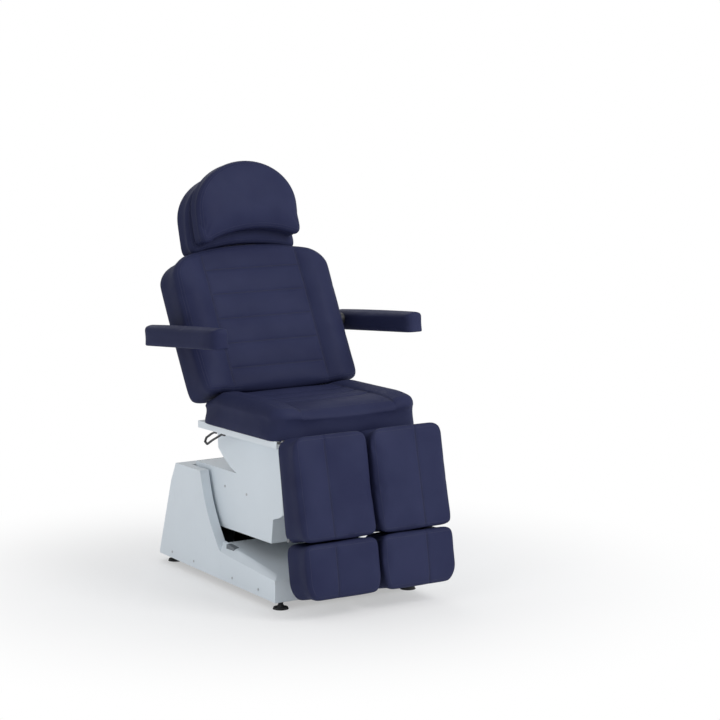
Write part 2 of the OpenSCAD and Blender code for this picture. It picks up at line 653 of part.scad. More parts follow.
// Seat frame: a tray with two rear cheeks for the back hinge
tray_half = 291;
tray_front_y = 6;
tray_wall = 4;
window_y = 484;
window_half = 244;
cheek_t = 8;
ear_x = 200;
ear_t = 7;
ear_r = 17;
lug_x = 18;
lug_t = 6;
hinge_pin_r = 8;
module seat_frame() placed() color(shell_white) difference() {
    union() {
        difference() {
            translate([-tray_half, tray_front_y, seat_frame_z])
                cube([2 * tray_half, seat_len - tray_front_y, seat_frame_h]);
            translate([tray_wall - tray_half, tray_front_y + tray_wall, seat_frame_z - cut])
                cube([2 * (tray_half - tray_wall), window_y - tray_front_y - 2 * tray_wall,
                    seat_frame_h - tray_wall + cut]);
            translate([-window_half, window_y, seat_frame_z - cut])
                cube([2 * window_half, seat_len, seat_frame_h + 2 * cut]);
            pair((tray_half - tray_wall + window_half + cheek_t) / 2)
                translate([-cheek_slot / 2, window_y + tray_wall, seat_frame_z - cut])
                    cube([cheek_slot, seat_len - window_y - 2 * tray_wall,
                        seat_frame_h - tray_wall + cut]);
        }
        pair(window_half + cheek_t / 2) x_rod([back_hinge_y, back_hinge_z], eye_r, cheek_t);
    }
    pair(window_half + cheek_t / 2) x_rod([back_hinge_y, back_hinge_z], hinge_pin_r + seat_gap, cheek_t + 2 * cut);
    pair(leg_centre) translate([-gas_notch / 2, 0, seat_frame_z - cut])
        cube([gas_notch, tray_front_y + tray_wall + cut, seat_frame_h - tray_wall + cut]);
    translate([-motor_notch / 2, window_y - tray_wall - cut, seat_frame_z - cut])
        cube([motor_notch, 2 * tray_wall, seat_frame_h - tray_wall + cut]);
}
cheek_slot = tray_half - window_half - cheek_t - tray_wall;
// Brackets on the seat frame: ears for the tilt pins and the leg shaft, and lugs for the actuators
// and gas springs
module lug(p, rear) pair(lug_x) {
    x_rod(p, eye_r, lug_t);
    across(lug_t) polygon([[p[0] - eye_r, p[1]], [p[0] + eye_r, p[1]], [p[0] + rear, seat_board_z - tray_wall],
        [p[0] - lug_reach, seat_board_z - tray_wall]]);
}
lug_reach = 40;
back_lug_rear = 18;
ear_rear = 4;
module seat_brackets() placed() color(dark) difference() {
    union() {
        pair(ear_x) {
            x_rod([tilt_y, tilt_z], ear_r, ear_t);
            across(ear_t) polygon([[tilt_y - ear_r, tilt_z], [tilt_y + ear_rear, tilt_z],
                [tilt_y + ear_rear, seat_board_z - tray_wall], [tilt_y - 50, seat_board_z - tray_wall]]);
        }
        lug(tilt_pin, lug_reach);
        lug(back_base, back_lug_rear);
        pair(leg_centre) pair(gas_lug_x)
            translate([-gas_lug_t / 2, gas_seat_pin[0] - gas_lug_r, gas_seat_pin[1] - gas_lug_drop])
                cube([gas_lug_t, 2 * gas_lug_r, seat_board_z - tray_wall - gas_seat_pin[1] + gas_lug_drop]);
        for (x = shaft_ears) translate([x, 0, 0]) {
            x_rod([leg_hinge_y, leg_hinge_z], shaft_ear_r, shaft_ear_t);
            translate([-shaft_ear_t / 2, leg_hinge_y, seat_board_z - shaft_ear_h])
                cube([shaft_ear_t, tray_front_y - leg_hinge_y, shaft_ear_h]);
        }
    }
    x_rod([leg_hinge_y, leg_hinge_z], shaft_r + seat_gap, 2 * tray_half + 2 * cut);
    x_rod([tilt_y, tilt_z], lift_pin_r + turn_gap, 2 * tray_half);
    x_rod(tilt_pin, small_pin_r + seat_gap, 2 * ear_x);
    x_rod(back_base, small_pin_r + seat_gap, 2 * ear_x);
    x_rod(gas_seat_pin, gas_pin_r + seat_gap, 2 * tray_half);
}
gas_lug_r = 10;
gas_lug_drop = 8;
gas_lug_x = 12;
gas_lug_t = 4;
gas_pin_r = 4;
gas_notch = 34;
motor_notch = 64;
shaft_r = 6;
shaft_ear_r = 9;
shaft_ear_t = 6;
shaft_ear_h = 7;
shaft_ears = [-286, 0, 286];
module seat_board() placed() color(wood)
    translate([seat_board_inset - tray_half, seat_board_inset + tray_front_y, seat_board_z])
        cube([2 * (tray_half - seat_board_inset), window_y - tray_front_y - 2 * seat_board_inset, seat_board_t]);
seat_board_inset = 8;
module seat_pins() placed() color(zinc) {
    x_rod(tilt_pin, small_pin_r, 2 * lug_x + lug_t);
    x_rod(back_base, small_pin_r, 2 * lug_x + lug_t);
    pair(leg_centre) x_rod(gas_seat_pin, gas_pin_r, 2 * gas_lug_x + gas_lug_t);
    pair(window_half + cheek_t / 2 - 6) x_rod([back_hinge_y, back_hinge_z], hinge_pin_r, cheek_t + 12);
}
module leg_hinge_shaft() placed() color(zinc)
    x_rod([leg_hinge_y, leg_hinge_z], shaft_r, 2 * tray_half);

// A wire loop under the left rear of the seat frame, for the hand control
wire_r = 3;
hook_x = -288;
hook_path = [[355, 0], [376, 0], [443, -31], [478, -50], [494, -43], [484, -27], [448, -8],
    [427, 0], [413, 0]];
// A band of one width along a path, with mitred corners
function turn_of(path, i) = let (a = path[max(0, i - 1)], b = path[i], c = path[min(len(path) - 1, i + 1)],
    u = i == 0 ? (c - b) / norm(c - b) : (b - a) / norm(b - a),
    v = i == len(path) - 1 ? u : (c - b) / norm(c - b), m = (u + v) / norm(u + v))
    [-m[1], m[0]] / (m * u);
function band(path, r) = concat([for (i = [0:len(path) - 1]) path[i] + r * turn_of(path, i)],
    [for (i = [len(path) - 1:-1:0]) path[i] - r * turn_of(path, i)]);
module control_hook() placed() color(dark) translate([hook_x, 0, seat_frame_z - wire_r])
    across(2 * wire_r) polygon(band(hook_path, wire_r));

// Seat cushion: rows run from front to back, and its rear slopes under the backrest
seat_inset = seat_edge_r;
seat_overhang = 14;
seat_end = 512;
seat_seams = [for (i = [1:3]) 93 + i * 84];
seat_slope_y = back_hinge_y - 93 + seat_overhang;
seat_rear_gap = 5;
function seat_rear_plane(y) = (back_start - (y - seat_overhang - back_hinge_y) * sin(recline)) / cos(recline)
    + back_hinge_z - seat_z - seat_rear_gap;
function seat_dishing(x) = abs(x) > channel_half ? 0
    : seat_dish + groove(abs(x), [channel_half - seam_half]);
function seat_depth(x, y) = min(seat_cushion_t - (y < 90 ? seat_front_drop * pow((90 - y) / 90, 2) : 0)
    - (abs(x) < channel_half ? seat_dish + groove(y, seat_seams) : 0),
    seat_rear_plane(y));
seat_front_drop = 14;
seat_rows = concat([seat_inset, 60, 100, 140], with_seams([seat_seams[0]]), with_seams([seat_seams[1]]),
    with_seams([seat_seams[2]]), [387, 411, seat_slope_y, 465, seat_end + seat_overhang - seat_inset]);
seat_columns = [-1, -0.88, -0.77, -0.73, -0.36, 0, 0.36, 0.73, 0.77, 0.88, 1];
module seat_cushion() placed() color(navy) translate([0, -seat_overhang, seat_z]) rotate([-90, 0, 0])
    pad(face_grid(seat_rows, seat_columns, function(s, z) [s * (seat_w / 2 - seat_inset), z],
        function(x, z) seat_depth(x, z)), side_rings(seat_edge_r, seat_cushion_t));

// Back frame: the hinge tube, two rails, the armrest bar and the actuator's lever
rail_x = 65;
rail_w = 30;
rail_t = 24;
rail_n = 12;
rail_top = 606;
arm_pivot_a = 328;
arm_pivot_n = 60;
arm_bar_h = 40;
arm_plate_t = 6;
arm_plate_x = back_w / 2 + 5;
head_rod_r = 8;
torque_r = 13;
lever_x = 17;
lever_t = 6;
lever_pin = back_pin_reach * [cos(back_lever_angle + recline), sin(back_lever_angle + recline)];
module back_frame() on_back() color(steel) difference() {
    union() {
        x_rod([0, 0], torque_r, 2 * (window_half - 4));
        pair(rail_x) translate([-rail_w / 2, rail_n, 0]) cube([rail_w, rail_t, rail_top]);
        translate([-arm_plate_x, rail_n, arm_pivot_a - arm_bar_h / 2])
            cube([2 * arm_plate_x, rail_t, arm_bar_h]);
        pair(arm_plate_x + arm_plate_t / 2) {
            translate([-arm_plate_t / 2, -arm_pivot_n, arm_pivot_a - arm_bar_h / 2])
                cube([arm_plate_t, arm_pivot_n + rail_n + rail_t, arm_bar_h]);
            x_rod([-arm_pivot_n, arm_pivot_a], arm_bar_h / 2, arm_plate_t);
        }
        pair(arm_plate_x + arm_pin_w / 2) x_rod([-arm_pivot_n, arm_pivot_a], arm_pin_r, arm_pin_w);
        pair(lever_x) {
            x_bar([0, 0], lever_pin, eye_r, lever_t);
            across(lever_t) polygon([[0, -torque_r], [lever_pin[0], lever_pin[1] - torque_r],
                lever_pin, [rail_n + rail_t, 150], [rail_n, 150], [rail_n, back_start]]);
        }
        translate([-rail_x, rail_n, 118]) cube([2 * rail_x, rail_t / 2, 32]);
    }
    x_rod([0, 0], hinge_pin_r + turn_gap, 2 * window_half);
    x_rod(lever_pin, small_pin_r + seat_gap, 60);
    pair(rail_x) translate([0, rail_n + rail_t / 2, rail_top - head_bore_depth])
        cylinder(r = head_rod_r + turn_gap, h = head_bore_depth + cut);
}
arm_pin_r = 10;
arm_pin_w = 56;
head_bore_depth = 240;
module back_lever_pin() on_back() color(zinc) x_rod(lever_pin, small_pin_r, 2 * lever_x + lever_t);
module back_board() on_back() color(wood) {
    translate([0, rail_n, 0]) rotate([90, 0, 0]) linear_extrude(rail_n) polygon([
        [-board_half, back_start + 14], [board_half, back_start + 14], [board_half, back_top - 110],
        [board_half - 60, back_top - 34], [60 - board_half, back_top - 34], [-board_half, back_top - 110]]);
}
board_half = 276;

// Back cushion: rows climb from the seat, with sewn channels between two upright seams
back_edge = 28;
back_seams = [for (i = [0:4]) 155 + i * channel_pitch];
shoulder_r = 106;
top_rise = 38;
function back_half(a) = (back_foot_w + (back_w - back_foot_w) * min(1, (a - back_start) / 250)) / 2
    - back_edge - (a > back_top - shoulder_r
    ? shoulder_r - sqrt(max(0, pow(shoulder_r, 2) - pow(a - back_top + shoulder_r, 2))) : 0);
function back_place(s, a) = let (full = back_w / 2 - back_edge, inner = full - shoulder_r - 10,
    half = back_half(a), x = abs(s) * full,
    fit = x <= inner ? x : inner + (x - inner) * (half - inner) / (full - inner),
    lift = a > back_top - shoulder_r ? (a - back_top + shoulder_r) / shoulder_r : 0)
    [sign(s) * fit, a + top_rise * lift * (1 - pow(s, 2)) - top_rise * lift];
function back_depth(x, a) = back_cushion_t + (abs(x) > channel_half ? bolster_rise
    * soft_hill(max(0, (a - 300) / (back_top - 300))) : 0)
    - (abs(x) < channel_half ? groove(a, back_seams) : 0)
    - groove(abs(x), [channel_half]);
back_rows = concat([back_start + back_edge, 122], with_seams([back_seams[0]]), [202],
    with_seams([back_seams[1]]), [297], with_seams([back_seams[2]]), [391], with_seams([back_seams[3]]),
    [486], with_seams([back_seams[4]]), [560, 580, back_top - back_edge + 8]);
back_columns = [-1, -0.9, -0.78, -0.7, -0.673, -0.64, -0.33, 0, 0.33, 0.64, 0.673, 0.7, 0.78, 0.9, 1];
module back_cushion() on_back() color(navy)
    pad(face_grid(back_rows, back_columns, function(s, z) back_place(s, z),
        function(x, z) back_depth(x, z)), side_rings(back_edge, back_cushion_t));

// Armrests: a hub on the back frame's pin, a tongue inside the pad, and the pad
arm_hub_r = 22;
arm_hub_w = 20;
tongue_t = 12;
tongue_h = 26;
tongue_len = 330;
arm_rear = 75;
arm_lift = -4;
arm_tilt = 4.8;
module on_arm(side) on_back() translate([side * arm_inside_w / 2, -arm_pivot_n, arm_pivot_a])
    rotate([recline - arm_tilt, 0, 0]) children();
module armrest_frame(side) on_arm(side) color(dark) difference() {
    union() {
        translate([side * -arm_hub_w / 2, 0, 0]) x_rod([0, 0], arm_hub_r, arm_hub_w);
        translate([side * tongue_x / 2, 0, 0]) x_rod([0, 0], tongue_h / 2, tongue_x);
        translate([side * tongue_x - tongue_t / 2, -tongue_len, -tongue_h / 2])
            cube([tongue_t, tongue_len + tongue_h / 2, tongue_h]);
    }
    x_rod([0, 0], arm_pin_r + turn_gap, 2 * arm_pin_w);
}
tongue_x = 30;
arm_ring_r = 18;
arm_tuck = 1.5;
arm_crown = 5;
arm_columns = [-1, -0.5, 0, 0.5, 1];
module armrest_pad(side) on_arm(side) color(navy) difference() {
    translate([side * arm_w / 2, arm_rear, arm_lift - arm_h / 2]) rotate([-90, 0, 180])
        pad(face_grid([for (i = [0:5]) arm_ring_r + i * (arm_len - 2 * arm_ring_r) / 5], arm_columns,
            function(s, z) [s * (arm_w / 2 - arm_ring_r), z],
            function(x, z) arm_h - arm_crown * pow(x / (arm_w / 2 - arm_ring_r), 2)),
            side_rings(arm_ring_r, arm_h, arm_tuck));
    translate([side * tongue_x - tongue_t / 2 - slide_gap, -tongue_len - slide_gap, -tongue_h / 2 - slide_gap])
        cube([tongue_t + 2 * slide_gap, tongue_len + tongue_h / 2 + 2 * slide_gap, tongue_h + 2 * slide_gap]);
    translate([side * tongue_x / 2 - side * cut, 0, 0]) x_rod([0, 0], tongue_h / 2 + slide_gap, tongue_x + 2 * cut);
}
module armrest_frame_left() armrest_frame(1);
module armrest_frame_right() armrest_frame(-1);
module armrest_pad_left() armrest_pad(1);
module armrest_pad_right() armrest_pad(-1);

// Headrest: rods in the back frame's rails, a hinge bracket, a board and two pads
head_hinge_a = 664;
head_hinge_n = 20;
head_plate_a = 640;
head_plate_t = 8;
head_ear_x = 64;
head_ear_t = 8;
head_pin_r = 5;
module headrest_rods() on_back() color(zinc) {
    pair(rail_x) translate([0, rail_n + rail_t / 2, rail_top - head_bore_depth + 20])
        cylinder(r = head_rod_r, h = head_plate_a + cut - rail_top + head_bore_depth - 20);
    translate([-head_plate_half, -head_hinge_n - 5, head_plate_a])
        cube([2 * head_plate_half, head_hinge_n + 5 + rail_n + rail_t, head_plate_t]);
    pair(head_ear_x) {
        x_rod([-head_hinge_n, head_hinge_a], head_ear_r, head_ear_t);
        translate([-head_ear_t / 2, -head_hinge_n - head_ear_r, head_plate_a + head_plate_t - cut])
            cube([head_ear_t, 2 * head_ear_r, head_hinge_a - head_plate_a - head_plate_t + cut]);
    }
    x_rod([-head_hinge_n, head_hinge_a], head_pin_r, 2 * head_ear_x);
}
head_plate_half = 86;
head_ear_r = 10;
head_board_n = 4;
head_board_t = 12;
module headrest_board() on_head() color(wood) {
    translate([-head_board_half, -head_board_n - head_board_t, 12])
        cube([2 * head_board_half, head_board_t, headrest_len - 100]);
    difference() {
        union() {
            x_rod([0, 0], head_pin_r + 4, 2 * (head_ear_x - head_ear_t));
            translate([-head_ear_x + head_ear_t, -head_board_n - cut, 0])
                cube([2 * (head_ear_x - head_ear_t), head_board_n + cut, 26]);
        }
        x_rod([0, 0], head_pin_r + turn_gap, 2 * head_ear_x);
    }
}
head_board_half = 150;
// A dome outline: columns on an ellipse's steps, and rows that share each column's height
head_columns = [for (a = [-90:15:90]) sin(a)];
head_rows_share = [0, 0.14, 0.36, 0.62, 0.84, 1];
function dome_grid(w, len, arc, r, bow, t) = [for (v = head_rows_share) [for (s = head_columns)
    let (low = r + bow * (1 - pow(s, 2)), high = len - r - arc * (1 - sqrt(max(0, 1 - pow(s, 2)))))
    [s * (w / 2 - r), -t, low + v * (high - low)]]];
head_edge_r = 26;
head_start = -31;
head_bow = 14;
head_arc = 150;
module headrest_cushion() on_head() color(navy) translate([0, -head_board_n - head_board_t, head_start])
    pad(dome_grid(headrest_w, headrest_len, head_arc, head_edge_r, head_bow, headrest_t),
        side_rings(head_edge_r, headrest_t));
pillow_start = -6;
pillow_edge_r = 26;
pillow_arc = 152;
pillow_bow = 35;
strip_t = 2;
pillow_n = head_board_n + head_board_t + headrest_t + strip_t;
strip_w = 200;
strip_h = 25;
module pillow_strips() on_head() color(dark) for (a = [80, 150])
    translate([-strip_w / 2, -pillow_n, a]) cube([strip_w, strip_t - rest_gap, strip_h]);
module head_pillow() on_head() color(navy) translate([0, -pillow_n, pillow_start])
    pad(dome_grid(pillow_w, pillow_len, pillow_arc, pillow_edge_r, pillow_bow, pillow_t),
        side_rings(pillow_edge_r, pillow_t));

// Legs: a board on two square tubes that hang on the hinge shaft
leg_tube_x = 60;
leg_tube_w = 25;
leg_bore_w = 19;
leg_tube_start = 32;
leg_tube_n = 1;
leg_board_start = 14;
leg_board_t = leg_back_n + leg_tube_n;
leg_sleeve_r = 10;
leg_sleeve_w = 30;
leg_end = leg_pad_start + leg_pad_len;
module leg_frame(side) on_leg(side) color(steel) difference() {
    union() {
        translate([5 - leg_pad_w / 2, -leg_back_n, -leg_end + 4])
            cube([leg_pad_w - 10, leg_board_t, leg_end - leg_board_start - 4]);
        pair(leg_tube_x) {
            translate([-leg_tube_w / 2, leg_tube_n, -leg_end + 4])
                cube([leg_tube_w, leg_tube_w, leg_end - leg_tube_start - 4]);
            x_rod([0, 0], leg_sleeve_r, leg_sleeve_w);
            across(leg_tube_w) polygon([[-7, 0], [9, 0], [leg_tube_n + 16, -leg_tube_start - 1],
                [-leg_back_n + 3, -leg_tube_start - 1]]);
        }
        pair(gas_clevis_x) translate([-gas_lug_t / 2, -leg_tube_n, -gas_arm_a - 14])
            cube([gas_lug_t, gas_arm_n + 12, 28]);
        x_rod([gas_arm_n, -gas_arm_a], gas_pin_r, 2 * gas_clevis_x);
        pair(latch_x) translate([-gas_lug_t / 2, -leg_tube_n, -latch_a - 10])
            cube([gas_lug_t, latch_n + 8, 20]);
        x_rod([latch_n, -latch_a], gas_pin_r, 2 * latch_x);
    }
    x_rod([0, 0], shaft_r + turn_gap, leg_pad_w);
    pair(leg_tube_x) translate([-leg_bore_w / 2, leg_tube_n + (leg_tube_w - leg_bore_w) / 2, -leg_end - cut])
        cube([leg_bore_w, leg_bore_w, leg_end - leg_tube_start - 4]);
}
gas_clevis_x = 13;
latch_x = 13;
latch_a = 290;
latch_n = 22;
module leg_frame_left() leg_frame(1);
module leg_frame_right() leg_frame(-1);

leg_seam = leg_pad_w / 2 * 0.2;
leg_columns_share = [-1, -0.6, -0.2, 0.15, 0.23, 0.31, 0.65, 1];
function leg_depth(x, z, side) = leg_pad_t + leg_pad_swell * (leg_pad_len - z) / leg_pad_len
    + pad_crown * (1 - pow(x / (leg_pad_w / 2), 2))
    - groove(x * side, [0.23 * (leg_pad_w / 2 - pad_edge_r)]);
module leg_pad(side) on_leg(side) color(navy) translate([0, -leg_back_n, -leg_end])
    pad(face_grid([for (i = [0:6]) pad_edge_r + i * (leg_pad_len - 2 * pad_edge_r) / 6],
        side > 0 ? leg_columns_share : -1 * [for (i = [7:-1:0]) leg_columns_share[i]],
        function(s, z) [s * (leg_pad_w / 2 - pad_edge_r), z],
        function(x, z) leg_depth(x, z, side)), side_rings(pad_edge_r, leg_pad_t));
module leg_pad_left() leg_pad(1);
module leg_pad_right() leg_pad(-1);

foot_end = foot_pad_start + foot_pad_len;
foot_rod_w = leg_bore_w - 2 * slide_gap;
foot_rod_start = 180;
module foot_frame(side) on_leg(side) color(steel) {
    translate([foot_board_inset - leg_pad_w / 2, -leg_back_n, -foot_end + foot_board_inset])
        cube([leg_pad_w - 2 * foot_board_inset, leg_board_t, foot_pad_len - foot_board_inset - 4]);
    pair(leg_tube_x) translate([-foot_rod_w / 2, leg_tube_n + (leg_tube_w - foot_rod_w) / 2,
        -foot_end + 2 * foot_board_inset]) cube([foot_rod_w, foot_rod_w,
        foot_end - foot_rod_start - 2 * foot_board_inset]);
    pair(leg_tube_x) translate([-foot_rod_w / 2, -cut, -foot_end + 2 * foot_board_inset])
        cube([foot_rod_w, leg_tube_w / 2, foot_pad_len - 2 * foot_board_inset - 8]);
}
foot_board_inset = 30;
module foot_frame_left() foot_frame(1);
module foot_frame_right() foot_frame(-1);
// The outer lower corner of a foot pad is an arc
function foot_outer(z) = leg_pad_w / 2 - pad_edge_r - (z < foot_corner_r
    ? foot_corner_r - sqrt(pow(foot_corner_r, 2) - pow(foot_corner_r - z, 2)) : 0);
function foot_inner(z) = leg_pad_w / 2 - pad_edge_r - (z < foot_corner_r
    ? (foot_corner_r - sqrt(pow(foot_corner_r, 2) - pow(foot_corner_r - z, 2))) / 2 : 0);
foot_rows = [pad_edge_r, 36, 50, foot_corner_r, 110, 150, foot_pad_len - pad_edge_r];
function foot_depth(x, z, side) = foot_pad_t - (z < 60 ? 12 * pow((60 - z) / 60, 2) : 0)
    + pad_crown * (1 - pow(x / (leg_pad_w / 2), 2))
    - groove(x * side, [0.23 * (leg_pad_w / 2 - pad_edge_r)]);
module foot_pad(side) on_leg(side) color(navy) translate([0, -leg_back_n, -foot_end])
    pad(face_grid(foot_rows, side > 0 ? leg_columns_share : -1 * [for (i = [7:-1:0]) leg_columns_share[i]],
        function(s, z) [s * side > 0 ? s * foot_outer(z) : s * foot_inner(z), z],
        function(x, z) foot_depth(x, z, side)), side_rings(pad_edge_r, foot_pad_t));
module foot_pad_left() foot_pad(1);
module foot_pad_right() foot_pad(-1);

// Gas springs between the seat frame and the legs
gas_r = 10;
gas_rod_r = 4;
gas_body_start = 14;
gas_body_end = 146;
gas_rod_len = 140;
gas_eye_r = 8;
gas_eye_w = 18;
module gas_cylinder(side) placed() translate([side * leg_centre, 0, 0]) color(dark)
    along(gas_seat_pin, gas_leg_pin) difference() {
        union() {
            x_rod([0, 0], gas_eye_r, gas_eye_w);
            y_rod(0, gas_body_start + cut, gas_eye_r - 2);
            y_rod(gas_body_start, gas_body_end, gas_r);
        }
        x_rod([0, 0], gas_pin_r + turn_gap, gas_eye_w + 2 * cut);
        y_rod(gas_body_start + gas_floor, gas_body_end + cut, gas_rod_r + rod_clear);
    }
gas_floor = 8;
module gas_rod(side) placed() translate([side * leg_centre, 0, 0]) color(zinc)
    along(gas_leg_pin, gas_seat_pin) difference() {
        union() {
            x_rod([0, 0], gas_eye_r, gas_eye_w);
            y_rod(0, gas_rod_len, gas_rod_r);
        }
        x_rod([0, 0], gas_pin_r + turn_gap, gas_eye_w + 2 * cut);
    }
module gas_cylinder_left() gas_cylinder(1);
module gas_cylinder_right() gas_cylinder(-1);
module gas_rod_left() gas_rod(1);
module gas_rod_right() gas_rod(-1);

// Levers behind the legs that free the gas springs
lever_len = 58;
lever_w = 15;
module release_lever(side) on_leg(side) color(dark) translate([0, latch_n, -latch_a]) difference() {
    union() {
        x_rod([0, 0], gas_eye_r, gas_eye_w);
        rotate([lever_rest, 0, 0]) translate([-lever_w / 2, gas_pin_r + cut, -gas_lug_t / 2])
            cube([lever_w, lever_len, gas_lug_t]);
    }
    x_rod([0, 0], gas_pin_r + turn_gap, gas_eye_w + 2 * cut);
}
lever_rest = -50;
module release_lever_left() release_lever(1);
module release_lever_right() release_lever(-1);

base_frame();
base_cover();
base_well_liner();
base_access_plugs();
base_cover_screws();
power_inlet();
control_box();
base_pins();
levelling_foot_front_left();
levelling_foot_front_right();
levelling_foot_rear_left();
levelling_foot_rear_right();
lower_lift_arms();
upper_lift_arms();
lift_motor();
lift_motor_rod();
carriage_frame();
carriage_pins();
under_seat_shroud();
shroud_edge_seal();
shroud_screws();
tilt_motor();
tilt_motor_rod();
seat_frame();
seat_brackets();
seat_board();
seat_cushion();
seat_pins();
leg_hinge_shaft();
control_hook();
back_motor();
back_motor_rod();
back_frame();
back_lever_pin();
back_board();
back_cushion();
armrest_frame_left();
armrest_frame_right();
armrest_pad_left();
armrest_pad_right();
headrest_rods();
headrest_board();
headrest_cushion();
pillow_strips();
head_pillow();
leg_frame_left();
leg_frame_right();
leg_pad_left();
leg_pad_right();
foot_frame_left();
foot_frame_right();
foot_pad_left();
foot_pad_right();
gas_cylinder_left();
gas_cylinder_right();
gas_rod_left();
gas_rod_right();
release_lever_left();
release_lever_right();
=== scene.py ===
"""Looks of the podiatry chair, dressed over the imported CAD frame."""

import bpy
import bmesh
import json
import math
import numpy as np
from mathutils import Matrix, Vector
from mathutils.bvhtree import BVHTree

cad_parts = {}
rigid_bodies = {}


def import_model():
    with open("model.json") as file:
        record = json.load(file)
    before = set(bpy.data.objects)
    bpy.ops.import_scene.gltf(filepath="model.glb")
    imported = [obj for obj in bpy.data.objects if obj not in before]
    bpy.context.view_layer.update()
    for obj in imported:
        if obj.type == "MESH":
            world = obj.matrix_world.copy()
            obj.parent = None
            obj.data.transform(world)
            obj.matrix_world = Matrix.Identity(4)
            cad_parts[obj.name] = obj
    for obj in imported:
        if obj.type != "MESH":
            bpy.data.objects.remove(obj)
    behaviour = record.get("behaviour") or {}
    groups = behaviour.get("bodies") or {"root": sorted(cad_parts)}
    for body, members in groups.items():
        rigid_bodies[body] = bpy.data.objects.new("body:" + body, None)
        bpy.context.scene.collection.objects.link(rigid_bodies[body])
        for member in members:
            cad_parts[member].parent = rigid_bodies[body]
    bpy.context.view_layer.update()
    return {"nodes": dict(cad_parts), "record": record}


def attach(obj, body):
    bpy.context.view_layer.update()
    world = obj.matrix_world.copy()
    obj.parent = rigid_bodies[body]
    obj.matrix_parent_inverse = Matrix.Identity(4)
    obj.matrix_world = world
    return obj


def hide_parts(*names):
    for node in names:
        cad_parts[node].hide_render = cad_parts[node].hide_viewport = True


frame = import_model()
NODES = frame["nodes"]


scene = bpy.context.scene
scene.view_settings.view_transform = "Standard"
MM = 0.001

# Places of the CAD source, in millimetres: the seat's front plane lies at Y = SHIFT
HANG = math.radians(9)
RECLINE = math.radians(27)
HEAD = math.radians(15)
REACH = 30 + 447 * math.sin(HANG) + 121 * math.cos(HANG)
SHIFT = (REACH - 927) / 2


def at(x, y, z):
    return Matrix.Translation((x, y, z))


def turn(angle, axis="X"):
    return Matrix.Rotation(angle, 4, axis)


PLACED = at(0, SHIFT, 0)
ON_BACK = PLACED @ at(0, 505, 585) @ turn(-RECLINE)
ON_HEAD = ON_BACK @ at(0, -20, 664) @ turn(RECLINE - HEAD)


def on_leg(side):
    return PLACED @ at(side * 157.5, -30, 592) @ turn(-HANG)


def on_arm(side):
    return ON_BACK @ at(side * 369, -60, 328) @ turn(RECLINE - math.radians(4.8))


# ---------------------------------------------------------------- materials
class Graph:
    """Short calls for making node trees."""

    def __init__(self, name):
        self.mat = bpy.data.materials.new(name)
        self.mat.use_nodes = True
        self.t = self.mat.node_tree
        self.t.nodes.clear()
        self.out = self.add("ShaderNodeOutputMaterial")
        self.bsdf = self.add("ShaderNodeBsdfPrincipled")
        self.link(self.bsdf, "BSDF", self.out, "Surface")
        self.co = self.add("ShaderNodeTexCoord")

    def add(self, kind, **props):
        n = self.t.nodes.new(kind)
        for k, v in props.items():
            setattr(n, k, v)
        return n

    def link(self, a, out, b, inp):
        self.t.links.new(a.outputs[out], b.inputs[inp])

    def noise(self, scale, detail=3.0, rough=0.5, stretch=None):
        n = self.add("ShaderNodeTexNoise")
        n.inputs["Scale"].default_value = scale
        n.inputs["Detail"].default_value = detail
        n.inputs["Roughness"].default_value = rough
        if stretch:
            m = self.add("ShaderNodeMapping")
            m.inputs["Scale"].default_value = stretch
            self.link(self.co, "Object", m, "Vector")
            self.link(m, "Vector", n, "Vector")
        else:
            self.link(self.co, "Object", n, "Vector")
        return n

    def cells(self, scale):
        n = self.add("ShaderNodeTexVoronoi", feature="DISTANCE_TO_EDGE")
        n.inputs["Scale"].default_value = scale
        self.link(self.co, "Object", n, "Vector")
        return n

    def ramp(self, src, out, stops):
        r = self.add("ShaderNodeValToRGB")
        e = r.color_ramp.elements
        e[0].position, e[0].color = stops[0]
        e[1].position, e[1].color = stops[1]
        for place, colour in stops[2:]:
            e.new(place).color = colour
        self.link(src, out, r, "Fac")
        return r

    def span(self, src, out, lo, hi, a=0.0, b=1.0):
        m = self.add("ShaderNodeMapRange")
        for k, v in (("From Min", a), ("From Max", b), ("To Min", lo), ("To Max", hi)):
            m.inputs[k].default_value = v
        self.link(src, out, m, "Value")
        return m

    def mix(self, fac, fout, a, aout, b, bout, blend="MIX", amount=0.5):
        m = self.add("ShaderNodeMix", data_type="RGBA", blend_type=blend)
        if fac is None:
            m.inputs[0].default_value = amount
        else:
            self.link(fac, fout, m, 0)
        for s, o, i in ((a, aout, 6), (b, bout, 7)):
            if isinstance(s, tuple):
                m.inputs[i].default_value = s
            else:
                self.link(s, o, m, i)
        return m

    def bump(self, src, out, strength, distance, after=None):
        b = self.add("ShaderNodeBump")
        b.inputs["Strength"].default_value = strength
        b.inputs["Distance"].default_value = distance
        self.link(src, out, b, "Height")
        if after:
            self.link(after, "Normal", b, "Normal")
        return b


